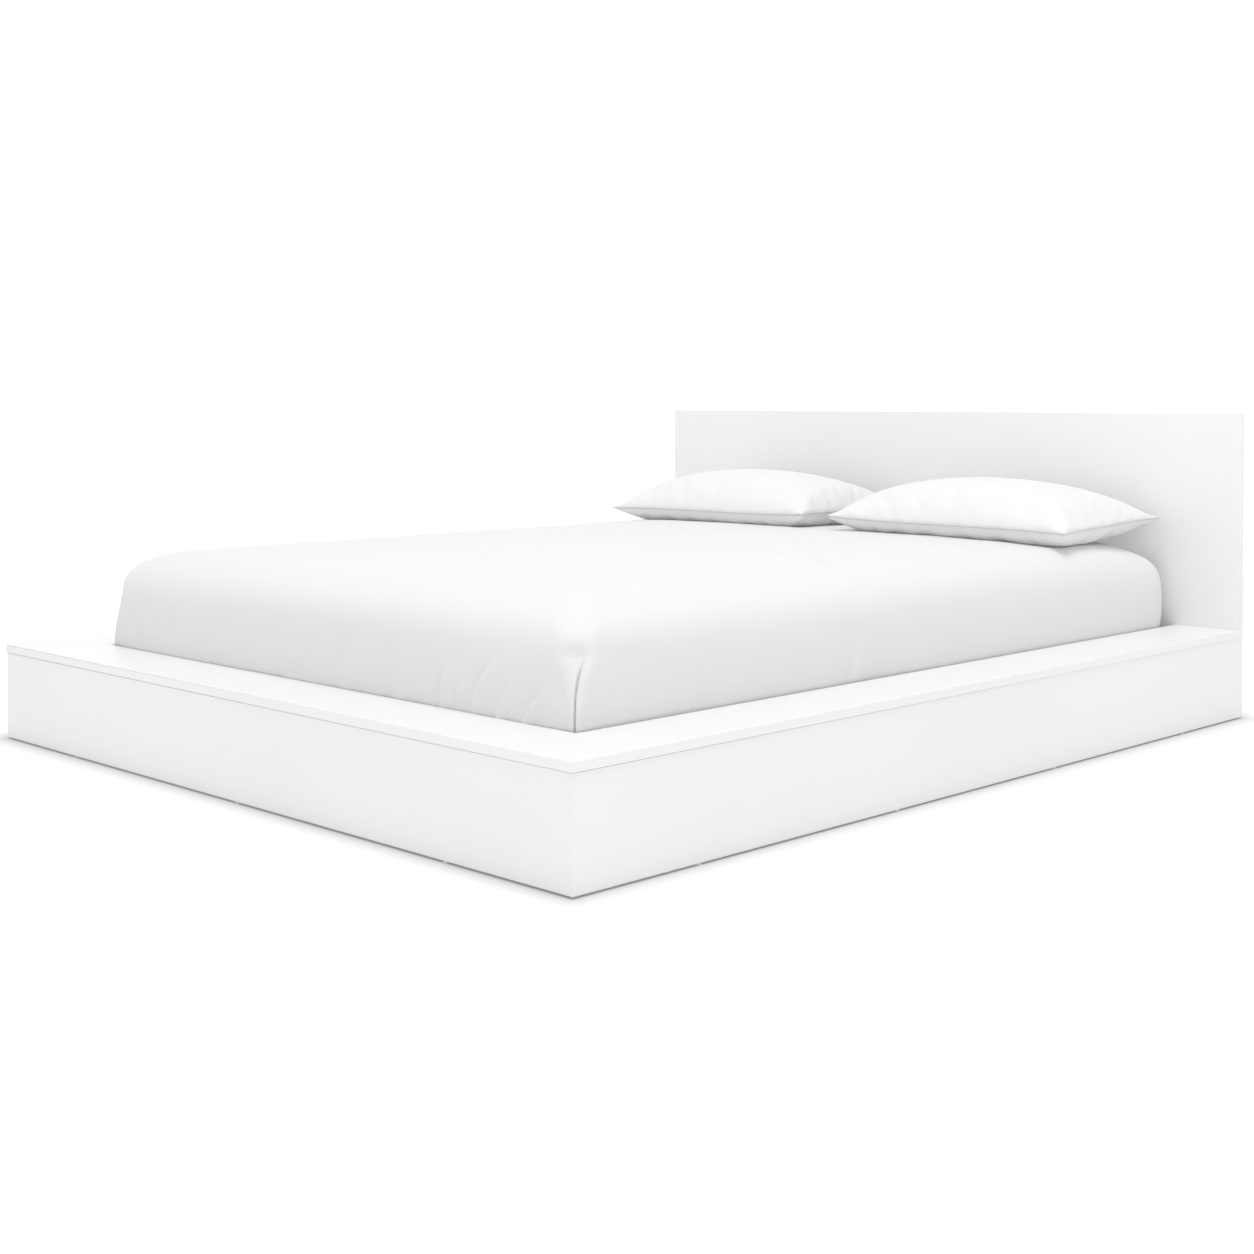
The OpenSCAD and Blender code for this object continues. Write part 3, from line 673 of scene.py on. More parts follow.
def bell(x: Array) -> Array:
    """1 at 0, falling smoothly to nothing by about 2 to either side."""
    return np.exp(-(x**2))


def clamp(share: float) -> float:
    """A number held between 0 and 1."""
    return min(max(share, 0.0), 1.0)


def smooth(share: Array | float) -> Array | float:
    """A smooth rise from 0 to 1 where a share between them rises evenly."""
    return share * share * (3 - 2 * share)


def unit(vectors: Array) -> Array:
    """Vectors of the same directions, one metre long."""
    return vectors / np.maximum(np.linalg.norm(vectors, axis=1)[:, None], 1e-9)


def squares(number: Array) -> Faces:
    """The faces between the points of a grid of point numbers."""
    corners = [number[:-1, :-1], number[1:, :-1], number[1:, 1:], number[:-1, 1:]]
    return [tuple(face) for face in np.stack(corners, axis=-1).reshape(-1, 4).tolist()]


def rim_of(number: Array) -> list[int]:
    """The numbers round the edge of a grid of point numbers, in order from its first corner."""
    return np.concatenate([number[:, 0], number[-1, 1:], number[-2::-1, -1], number[0, -2:0:-1]]).tolist()


def normals_of(points: Array, faces: Faces) -> Array:
    """The outward normals of a mesh's points.

    Args:
        points: The points.
        faces: The faces, as point numbers.

    Returns:
        One normal for each point.
    """
    mesh = bpy.data.meshes.new("trial")
    mesh.from_pydata(points.tolist(), [], faces)
    mesh.update()
    normals = np.array([v.normal for v in mesh.vertices])
    bpy.data.meshes.remove(mesh)
    return normals


def soft_piece(name: str, points: Array, faces: Faces, flat: Array, finish: str) -> bpy.types.Object:
    """Makes a smooth piece with the map that its weave follows.

    Args:
        name: The piece's name.
        points: Its points.
        faces: Its faces, as point numbers.
        flat: Each point's place on the flat cloth, in metres.
        finish: A name in FINISHES.

    Returns:
        The piece.
    """
    mesh = bpy.data.meshes.new(name)
    mesh.from_pydata(points.tolist(), [], faces)
    layer = mesh.uv_layers.new(name=CUT_MAP)
    corners = np.zeros(len(mesh.loops), np.int32)
    mesh.loops.foreach_get("vertex_index", corners)
    layer.uv.foreach_set("vector", flat[corners].astype(np.float32).ravel())
    mesh.shade_smooth()
    mesh.update()
    return paint(new_piece(name, mesh), finish)


def waves(points: Array, seed: int, count: int, shortest: float, longest: float) -> Array:
    """Smooth unevenness, as a sum of long waves in fixed directions.

    Args:
        points: Where to read it.
        seed: Chooses the directions.
        count: How many waves.
        shortest: The shortest wavelength.
        longest: The longest wavelength.

    Returns:
        Heights of about -1 to 1.
    """
    rng = np.random.default_rng(seed)
    total = np.zeros(len(points))
    for _ in range(count):
        direction = rng.normal(size=3)
        direction /= np.linalg.norm(direction)
        length = shortest * (longest / shortest) ** rng.random()
        phase = points @ direction * (math.tau / length) + rng.random() * math.tau
        total += np.sin(phase) * math.sqrt(length / longest)
    return total / math.sqrt(count)


class Fold(Enum):
    """How the cloth lies at a crease."""

    SOFT = 0
    OVERLAPPED = 1


@dataclass(frozen=True)
class Crease:
    """A line pressed into the cloth with a ridge beside it, or the cloth lapped over its right side."""

    points: tuple[tuple[float, float, float], ...]
    depth: float
    width: float
    ridge: float = 0.6
    fold: Fold = Fold.SOFT

    def line(self) -> Array:
        """Draws the crease as a smooth curve.

        Returns:
            Close points along it.
        """
        at = np.array(self.points)
        fewest, spacing, power = 24, 3 * MM, min(3, len(at) - 1)
        steps = max(fewest, round(np.linalg.norm(np.diff(at, axis=0), axis=1).sum() / spacing))
        fit = np.polyfit(np.linspace(0, 1, len(at)), at, power)
        t = np.linspace(0, 1, steps)[:, None]
        return sum(c * t ** (power - k) for k, c in enumerate(fit))

    def height(self, points: Array, normals: Array) -> Array:
        """How far the crease moves each point along its normal.

        Args:
            points: Points on the cloth.
            normals: Their outward normals.

        Returns:
            One height for each point.
        """
        line = self.line()
        out = np.zeros(len(points))
        reach = 6 * self.width
        near = np.flatnonzero(((points > line.min(0) - reach) & (points < line.max(0) + reach)).all(1))
        if not len(near):
            return out
        apart = points[near][:, None, :] - line[None]
        which = np.linalg.norm(apart, axis=2).argmin(1)
        offset = apart[np.arange(len(near)), which]
        tangent = unit(np.gradient(line, axis=0))[which]
        side = unit(np.cross(tangent, normals[near]))
        across, past = ((offset * way).sum(1) / self.width for way in (side, tangent))
        first, run, fullness = 0.06, 0.88, 0.8
        share = which / (len(line) - 1)
        fade = np.sin(np.pi * (first + run * share)) ** fullness * np.exp(-(past**2) * 0.5)
        if self.fold is Fold.OVERLAPPED:
            lip, lap, gutter = 0.18, 2.4, 0.9
            upper = 1 / (1 + np.exp(np.clip(across / lip, -50, 50)))
            shape = upper * bell(across / lap) - (1 - upper) * self.ridge * bell(across / gutter)
        else:
            ridge_at, ridge_w, groove_w = 1.1, 0.9, 0.55
            shape = self.ridge * bell((across - ridge_at) / ridge_w) - bell(across / groove_w)
        out[near] = self.depth * fade * shape
        return out


@dataclass(frozen=True)
class Dimple:
    """A soft round hollow."""

    middle: tuple[float, float, float]
    widths: tuple[float, float, float]
    depth: float

    def depth_at(self, points: Array) -> Array:
        """How deep it is at each point."""
        apart = (points - np.array(self.middle)) / np.array(self.widths)
        return self.depth * bell(np.linalg.norm(apart, axis=1))


@dataclass
class BedForm:
    """A soft rounded block in the recess: a grid over its top and rings of points down its sides."""

    half_x: float
    half_y: float
    middle_y: float
    corner: float
    edge_w: float
    edge_h: float
    shoulder_z: float
    crown: float = 0.0
    crown_w: float = 450 * MM
    growth: float = 0.6
    growth_w: float = 200 * MM
    cell: float = 14 * MM
    fine_cell: float = 5 * MM
    fine_x: tuple[float, float] = (0.0, 0.0)
    fine_y: tuple[float, float] = (0.0, 0.0)
    corner_cells: int = 14
    corner_crowding: float = 1.8

    def __post_init__(self) -> None:
        """Works out the top grid's lines, its points' numbers and its rim."""
        self.top_radius = self.radius(self.edge_w)
        u = np.linspace(0, 1, self.corner_cells + 1)
        self.corner_steps = 1 - (1 - u) ** self.corner_crowding
        self.lines_x = self._lines(self.half_x - self.edge_w, self.fine_x)
        self.lines_y = self._lines(self.half_y - self.edge_w, self.fine_y)
        self.grid = np.meshgrid(self.lines_x, self.lines_y, indexing="ij")
        self.number = np.arange(self.grid[0].size).reshape(self.grid[0].shape)
        self.rim = rim_of(self.number)

    def radius(self, inset: float) -> float:
        """The radius of a corner at an inset from the side."""
        return self.corner + self.growth * min(max(inset, 0.0), self.growth_w)

    def _lines(self, half: float, fine: tuple[float, float]) -> Array:
        """Grid lines from -half to half, crowded at the corners and where the creases lie.

        Args:
            half: Half the grid's size.
            fine: Where the fine stretch starts and ends.

        Returns:
            Places of the lines.
        """
        straight = half - self.top_radius
        stops = sorted({-straight, straight, *(min(max(f, -straight), straight) for f in fine)})
        middle = [np.array([-straight])]
        for low, high in zip(stops, stops[1:]):
            cell = self.fine_cell if fine[0] <= (low + high) / 2 <= fine[1] else self.cell
            middle.append(np.linspace(low, high, 1 + max(1, round((high - low) / cell)))[1:])
        end = straight + self.top_radius * self.corner_steps[1:]
        return np.concatenate([-end[::-1], *middle, end])

    def crown_rise(self, inset: Array | float) -> Array | float:
        """How far the crown has risen at an inset from the side."""
        return self.crown * (1 - (1 - np.minimum(np.asarray(inset) / self.crown_w, 1)) ** 2)

    def swell(self, x: Array, y: Array) -> Array:
        """The crown's rise over the top beyond the rounded edge.

        Args:
            x: Places across the bed.
            y: Places along the bed from the form's middle.

        Returns:
            Heights.
        """
        a, b = self.half_x - self.edge_w, self.half_y - self.edge_w
        rest = self.crown - self.crown_rise(self.edge_w)
        slope = 2 * self.crown / self.crown_w * (1 - self.edge_w / self.crown_w)
        if rest <= 0:
            return np.zeros_like(x)
        px, py = slope * a / rest, slope * b / rest
        return rest * (1 - np.minimum(abs(x / a), 1) ** px) * (1 - np.minimum(abs(y / b), 1) ** py)

    def top_z(self) -> float:
        """The height where the rounded edge ends."""
        return self.shoulder_z + self.edge_h + float(self.crown_rise(self.edge_w))

    def corner_shares(self, x: Array, y: Array) -> tuple[Array, Array]:
        """How far places on the grid lie into a corner, across and along the bed, from 0 to 1."""
        ends = ((x, self.lines_x[-1]), (y, self.lines_y[-1]))
        return tuple(np.maximum((abs(at) - (end - self.top_radius)) / self.top_radius, 0) for at, end in ends)

    def top(self) -> Array:
        """Rounds the corners of the top's square grid.

        Returns:
            Its points row by row.
        """
        x, y = self.grid
        r = self.top_radius
        p, q = self.corner_shares(x, y)
        both = (p > 0) & (q > 0)
        x = np.where(both, np.sign(x) * (self.lines_x[-1] - r + r * (p * np.sqrt(1 - q * q / 2))), x)
        y = np.where(both, np.sign(y) * (self.lines_y[-1] - r + r * (q * np.sqrt(1 - p * p / 2))), y)
        return np.stack([x, y + self.middle_y, self.top_z() + self.swell(x, y)], axis=2).reshape(-1, 3)

    def ring(
        self, inset: float, turn: float = 0.0, tighter: float = 0.0, easier: float = 0.0
    ) -> tuple[Array, Array]:
        """A ring of the side's points at an inset, and their outward directions.

        Args:
            inset: Distance in from the side; below 0 it lies outside.
            turn: How far the middle columns of the foot corners turn to the long sides, in radians.
            tighter: How much smaller the foot corners' radius is here.
            easier: How much larger the head corners' radius is here.

        Returns:
            Points and directions, both across and along the bed.
        """
        a, b, r0 = self.lines_x[-1], self.lines_y[-1], self.top_radius
        x, y = (lines.ravel()[self.rim] for lines in self.grid)
        far = smooth(np.clip((y / b + 1) / 2, 0, 1))
        r = self.radius(inset) - tighter * (1 - far) + easier * far
        p, q = self.corner_shares(x, y)
        in_corner = (p > 0) & (q > 0)
        from_side, from_end = (np.arcsin(np.minimum(share, 1) / math.sqrt(2)) for share in (q, p))
        angle = np.where(p >= q, from_side, math.pi / 2 - from_end)
        middle = math.pi / 4
        lean = turn * (1 - abs(angle - middle) / middle)
        angle = np.where(in_corner & (y < 0), angle - lean, angle)
        on_side, on_end = abs(x) >= a - 1e-9, abs(y) >= b - 1e-9
        out_x = np.sign(x) * np.where(in_corner, np.cos(angle), on_side)
        out_y = np.sign(y) * np.where(in_corner, np.sin(angle), on_end)
        out = np.stack([out_x, out_y], axis=1)
        cx, cy = self.half_x - inset - r, self.half_y - inset - r
        base_x = np.where(in_corner | on_side, np.sign(x) * cx, x * cx / (a - r0))
        base_y = np.where(in_corner | on_end, np.sign(y) * cy, y * cy / (b - r0))
        place = np.stack([base_x, base_y + self.middle_y], axis=1) + r[:, None] * out
        return place, out

    def level_ring(self, inset: float, z: float) -> tuple[Array, Array]:
        """A ring at one height, and its outward directions."""
        place, out = self.ring(inset)
        return np.column_stack([place, np.full(len(place), z)]), out

    def side_profile(self, rows: int, low_z: float, bulge: float, squareness: float) -> Profile:
        """The rounded edge and the side below it as one curve in even steps.

        Args:
            rows: How many rings.
            low_z: The height where the side is widest.
            bulge: How far it stands out there.
            squareness: 2 for a quarter of an ellipse, more for a straighter side.

        Returns:
            Insets and heights, from below the top to the widest place.
        """
        turn = np.linspace(math.pi / 2, 0, 400)
        inset = (self.edge_w + bulge) * (1 - np.cos(turn)) - bulge
        rise = (self.shoulder_z + self.edge_h - low_z) * np.sin(turn) ** (2 / squareness)
        z = low_z + rise + self.crown_rise(np.maximum(inset, 0))
        run = np.concatenate([[0], np.cumsum(np.hypot(np.diff(inset), np.diff(z)))])
        at = np.linspace(0, run[-1], rows + 1)[1:]
        return list(zip(np.interp(at, run, inset).tolist(), np.interp(at, run, z).tolist()))

    def skin(
        self, profile: Profile, ring: Callable[[float, float], tuple[Array, Array]]
    ) -> tuple[list[Array], list[Array], float]:
        """The top with rings hung below it along a profile.

        Args:
            profile: The inset and height of each ring.
            ring: Gives a ring's points and outward directions from its inset and height.

        Returns:
            The points of the top and of each ring, their places on the flat cloth, and its length down
            the side.
        """
        rings = [self.top()]
        cut = [rings[0][:, :2]]
        rim_cut, _ = self.ring(self.edge_w)
        length, before = 0.0, (self.edge_w, self.top_z())
        for inset, z in profile:
            place, out = ring(inset, z)
            rings.append(place)
            length += math.hypot(before[0] - inset, before[1] - z)
            before = (inset, z)
            cut.append(rim_cut + out * length)
        return rings, cut, length

    def faces(self, rings: int, closed_base: bool = False) -> Faces:
        """The faces of the top, the rings below it and, where wanted, a flat base with the top's grid.

        Args:
            rings: How many rings lie below the rim.
            closed_base: Whether the last points are a base grid.

        Returns:
            Faces as point numbers.
        """
        size, count = self.number.size, len(self.rim)
        loops = np.vstack([self.rim, size + np.arange(rings * count).reshape(rings, count)])
        made = squares(self.number)
        for upper, lower in zip(loops, loops[1:]):
            made += squares(np.pad(np.stack([lower, upper], axis=1), ((0, 1), (0, 0)), mode="wrap"))
        if closed_base:
            under, inner = np.arange(size), np.delete(np.arange(size), self.rim)
            under[inner] = size + rings * count + np.arange(len(inner))
            under[self.rim] = loops[-1]
            made += [face[::-1] for face in squares(under.reshape(self.number.shape))]
        return made


# Bedding


@dataclass
class Bedding:
    """The foam mattress in its ticking and the coverlet tucked in round it."""

    cover_cloth: float = 3 * MM
    overhang: float = 5 * MM
    side_rows: int = 36
    low_rows: int = 7
    bulge: float = 5 * MM
    bulge_h: float = 45 * MM
    tuck_in: float = 2.5 * MM
    squareness: float = 4.5
    tuck_depth: float = 8 * MM
    tuck_lip: float = 1.8 * MM
    tuck_top_z: float = 336 * MM
    tuck_fade: float = 30 * MM
    tuck_reach: float = 200 * MM
    tuck_lean_deg: float = 20.0
    tuck_lean_h: float = 112 * MM
    corner_draw: float = 42 * MM
    head_ease: float = 10 * MM
    head_sink: float = 18 * MM
    core_sink: float = 1.06
    hollow_depth: float = 8.5 * MM
    hollow_top_z: float = 374 * MM
    hollow_ramp: float = 44 * MM
    hollow_at: float = -18 * MM
    hollow_w: float = 22 * MM
    hem_h: float = 25 * MM
    hem_t: float = 1.2 * MM
    hem_step: float = 1.5 * MM
    core_edge: float = 80 * MM
    base_r: float = 15 * MM
    base_lap: float = 8 * MM

    def __post_init__(self) -> None:
        """Takes the sizes from the mattress's and coverlet's solids."""
        low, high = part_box("mattress")
        cover_low, cover_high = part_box("coverlet")
        self.base_z, self.cover_low_z, self.cover_high_z = low.z, cover_low.z, cover_high.z
        self.ledge_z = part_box("ledge_foot")[1].z
        self.shoulder_z = high.z - self.core_edge
        half_x, half_y, middle = (high.x - low.x) / 2, (high.y - low.y) / 2, (low.y + high.y) / 2
        self.form = BedForm(
            half_x + self.overhang, half_y + self.overhang, middle, corner=54 * MM, edge_w=90 * MM,
            edge_h=85 * MM, shoulder_z=self.shoulder_z, crown=15 * MM, fine_x=(0.26, 0.8),
            fine_y=(-0.46, 0.10), fine_cell=3.2 * MM,
        )
        self.core = BedForm(
            half_x, half_y, middle, corner=64 * MM, edge_w=self.core_edge, edge_h=self.core_edge,
            shoulder_z=self.shoulder_z, cell=30 * MM, corner_cells=8,
        )
        rim = self.form.top()[self.form.rim]
        self.rim_swell = self.form.swell(rim[:, 0], rim[:, 1] - middle)
        self.creases = self._creases()
        foot, side, head = middle - self.form.half_y, self.form.half_x, middle + self.form.half_y
        self.dimples, self.head_dimples = [], []
        for x in (1, -1):
            self.dimples.append(Dimple((x * 0.748, foot + 0.024, 0.349), (0.030, 0.030, 0.016), 1.5 * MM))
            self.dimples.append(Dimple((x * (side + 0.003), -0.85, 0.332), (0.05, 0.045, 0.022), 1.8 * MM))
            sunk = (x * (side - 0.05), head - 0.05, 0.415)
            self.head_dimples.append(Dimple(sunk, (0.12, 0.16, 0.075), self.head_sink))

    def _creases(self) -> list[Crease]:
        """Lays out a few creases across the top, and soft folds on the foot and the long sides.

        Returns:
            The cover's creases.
        """
        z = self.cover_high_z
        lap = Fold.OVERLAPPED
        foot = self.form.middle_y - self.form.half_y - self.bulge
        side = self.form.half_x + self.bulge
        lapped = [
            (((0.30, -0.235, z), (0.42, -0.235, z), (0.55, -0.275, z), (0.68, -0.37, z)), 3.2 * MM),
            (((0.34, 0.015, z), (0.49, -0.025, z), (0.64, -0.095, z), (0.77, -0.19, z)), 4.6 * MM),
            (((0.29, 0.10, z), (0.40, 0.13, z), (0.58, 0.06, z), (0.78, -0.07, z)), 3.6 * MM),
        ]
        top = [Crease(points, depth, 11 * MM, 0.35, lap) for points, depth in lapped] + [
            Crease(((0.40, -0.10, z), (0.52, -0.12, z), (0.66, -0.19, z)), 2.0 * MM, 12 * MM),
            Crease(((-0.52, -0.42, z), (-0.30, -0.36, z), (-0.08, -0.40, z)), 1.6 * MM, 22 * MM),
            Crease(((-0.40, 0.22, z), (-0.18, 0.24, z), (0.05, 0.18, z)), 1.6 * MM, 22 * MM),
        ]
        front = [
            Crease(((0.400, foot, 0.205), (0.408, foot, 0.25), (0.425, foot, 0.30)), 4.5 * MM, 11 * MM, 0.9),
            Crease(((0.490, foot, 0.21), (0.515, foot, 0.27), (0.565, foot, 0.325)), 4.0 * MM, 12 * MM, 0.9),
            Crease(((0.62, foot, 0.205), (0.65, foot, 0.245), (0.69, foot, 0.28)), 3.2 * MM, 12 * MM, 0.9),
            Crease(((0.445, foot, 0.205), (0.455, foot, 0.24), (0.475, foot, 0.28)), 2.4 * MM, 9 * MM, 0.9),
            Crease(((0.555, foot, 0.205), (0.575, foot, 0.24), (0.61, foot, 0.29)), 2.8 * MM, 10 * MM, 0.9),
            Crease(((0.25, foot, 0.20), (0.265, foot, 0.27), (0.27, foot, 0.34)), 4.0 * MM, 24 * MM, 0.8),
            Crease(((0.08, foot, 0.20), (0.11, foot, 0.27), (0.15, foot, 0.33)), 3.4 * MM, 26 * MM, 0.8),
            Crease(((-0.10, foot, 0.20), (-0.09, foot, 0.26), (-0.07, foot, 0.31)), 2.4 * MM, 28 * MM, 0.8),
        ]
        sides = [
            Crease(((side, -0.22, 0.20), (side, -0.19, 0.27), (side, -0.17, 0.34)), 1.8 * MM, 24 * MM, 0.8),
            Crease(((side, 0.34, 0.20), (side, 0.35, 0.26), (side, 0.37, 0.32)), 1.4 * MM, 26 * MM, 0.8),
            Crease(((side, -0.62, 0.20), (side, -0.60, 0.26), (side, -0.57, 0.32)), 1.4 * MM, 26 * MM, 0.8),
        ]
        inward, weaker, wider = -0.98, 0.5, 1.4
        mirrored = []
        for c in front[:3] + sides:
            points = tuple((x * inward, y, z) for x, y, z in c.points)
            mirrored.append(Crease(points, c.depth * weaker, c.width * wider, c.ridge))
        return top + front + sides + mirrored

    def tuck(self, along: Array, z: float) -> Array:
        """The tuck's push at distances along the side from its line, at one height.

        Args:
            along: Distances, towards the long side above 0.
            z: The height.

        Returns:
            Pushes outwards.
        """
        line, under_w, lip_run, flap_w = 0.2 * MM, 4 * MM, 1.4 * MM, 26 * MM
        strength = clamp((self.tuck_top_z - z) / self.tuck_fade) ** 0.8
        under = -self.tuck_depth * bell(along / under_w) * (along <= line)
        step = np.clip(along / lip_run, 0, 1)
        flap = -self.tuck_depth * (1 - step) ** 2 + self.tuck_lip * step * bell(along / flap_w)
        deep = smooth(clamp((self.hollow_top_z - z) / self.hollow_ramp))
        deep *= 0.3 + 0.7 * clamp((z - self.ledge_z) / (120 * MM))
        hollow = -self.hollow_depth * deep * bell((along - self.hollow_at) / self.hollow_w)
        return strength * (under + flap * (along > line)) + hollow

    def relief(self, points: Array, normals: Array) -> Array:
        """The cover's creases, dimples and unevenness.

        Args:
            points: Points on the smooth cover.
            normals: Their outward normals.

        Returns:
            Pushes along the normals.
        """
        flatter = points * np.array([1.0, 1.0, 1.6])
        total = 0.9 * MM * waves(flatter, seed=5, count=14, shortest=0.16, longest=0.6)
        total += 0.35 * MM * waves(points, seed=11, count=16, shortest=0.05, longest=0.14)
        for crease in self.creases:
            total += crease.height(points, normals)
        for dimple in self.dimples:
            total -= dimple.depth_at(points)
        inside = np.clip((points[:, 2] - self.cover_low_z) / (self.ledge_z - self.cover_low_z), 0, 1)
        return total * inside - self.head_dip(points)

    def head_dip(self, points: Array) -> Array:
        """How far the corners under the pillows' ends have sunk, in the cover and the mattress alike."""
        return sum(dimple.depth_at(points) for dimple in self.head_dimples)

    def top_surface(self, x: Array, y: Array) -> Array:
        """The cover's height where something lies on it.

        Args:
            x: Places across the bed.
            y: Places along the bed.

        Returns:
            Heights.
        """
        z = self.form.top_z() + self.form.swell(x, y - self.form.middle_y)
        points = np.stack([x, y, z], axis=1)
        return z + self.relief(points, np.tile([0.0, 0.0, 1.0], (len(x), 1)))

    def cover_ring(self, inset: float, z: float) -> tuple[Array, Array]:
        """One ring of the cover's side, with the tucks at its foot corners.

        Args:
            inset: Distance in from the side.
            z: The ring's height.

        Returns:
            Its points and their outward directions.
        """
        form, level = self.form, 1e-6
        turn = math.radians(self.tuck_lean_deg) * clamp((z - self.ledge_z) / self.tuck_lean_h) ** 2.2
        fall = clamp((self.shoulder_z - z) / (self.shoulder_z - self.ledge_z))
        tighter = self.corner_draw * fall**0.7
        place, out = form.ring(inset, turn, tighter, self.head_ease * fall)
        if z < self.hollow_top_z:
            out_x, out_y = abs(out).T
            radius, foot = form.radius(0) - tighter, form.middle_y - form.half_y
            along = (math.pi / 4 - turn - np.arctan2(out_y, out_x)) * (form.radius(inset) - tighter)
            past_side = np.maximum(abs(place[:, 1] - foot) - radius, 0)
            past_foot = np.maximum(form.half_x - radius - abs(place[:, 0]), 0)
            along += past_side * (out_y < level) - past_foot * ((out[:, 1] < 0) & (out_x <= level))
            near = (out[:, 1] < 0) | (place[:, 1] < foot + self.tuck_reach)
            place += out * (self.tuck(along, z) * near)[:, None]
        rise = self.rim_swell * max(0.0, inset / form.edge_w) ** 2
        return np.column_stack([place, np.full(len(place), z) + rise]), out

    def cover(self) -> bpy.types.Object:
        """Builds the coverlet.

        Returns:
            The coverlet, which stands for its solid.
        """
        form, name = self.form, "coverlet_cloth"
        profile = form.side_profile(self.side_rows, self.ledge_z + self.bulge_h, self.bulge, self.squareness)
        for i in range(1, self.low_rows + 1):
            share = i / self.low_rows
            profile.append((self.tuck_in * share**2 - self.bulge, self.ledge_z + self.bulge_h * (1 - share)))
        hem_top = self.cover_low_z + self.hem_h
        profile += [(0.0, hem_top), (-self.hem_t, hem_top - self.hem_step), (-self.hem_t, self.cover_low_z)]
        rings, cut, length = form.skin(profile, self.cover_ring)
        points, faces = np.concatenate(rings), form.faces(len(profile))
        normals = normals_of(points, faces)
        points += normals * self.relief(points, normals)[:, None]
        piece = soft_piece(name, points, faces, np.concatenate(cut), "coverlet")
        body = piece.modifiers.new("cloth thickness", "SOLIDIFY")
        body.thickness, body.offset = self.cover_cloth, -1.0
        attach(piece, "bedding")
        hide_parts("coverlet")
        width, depth = (2 * (half - form.edge_w + length) for half in (form.half_x, form.half_y))
        LOG.info("coverlet cut %.3f x %.3f", width, depth)
        return piece

    def mattress(self) -> bpy.types.Object:
        """Builds the mattress in its ticking, with a taped edge round its base.

        Returns:
            The mattress, which stands for its solid.
        """
        form, low, base_r = self.core, self.base_z, self.base_r
        tape_z, wall_rows, base_rows = low + base_r + 6 * MM, 8, 4
        wall = tape_z + 6 * MM - form.shoulder_z
        profile = form.side_profile(10, form.shoulder_z, 0.0, 2.0)
        profile += [(0.0, form.shoulder_z + wall * i / wall_rows) for i in range(1, wall_rows + 1)]
        profile += [(0.0, tape_z + 4 * MM), (1.5 * MM, tape_z + 2 * MM), (0.0, tape_z)]
        for i in range(1, base_rows + 1):
            t = math.pi / 2 * i / base_rows
            profile.append((base_r * (1 - math.cos(t)), low + base_r * (1 - math.sin(t))))
        profile.append((base_r + self.base_lap, low))
        rings, cut, _ = form.skin(profile, form.level_ring)
        inner = np.delete(rings[0], form.rim, axis=0) - [0, form.middle_y, 0]
        halves = np.array([form.half_x, form.half_y])
        base = inner[:, :2] * (halves - base_r - self.base_lap) / (halves - form.edge_w) + [0, form.middle_y]
        points = np.concatenate([*rings, np.column_stack([base, np.full(len(base), low)])])
        faces = form.faces(len(profile), closed_base=True)
        points -= normals_of(points, faces) * (self.head_dip(points) * self.core_sink)[:, None]
        piece = soft_piece("mattress_ticking", points, faces, np.concatenate([*cut, base]), "ticking")
        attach(piece, "bedding")
        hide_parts("mattress")
        return piece


# Pillows


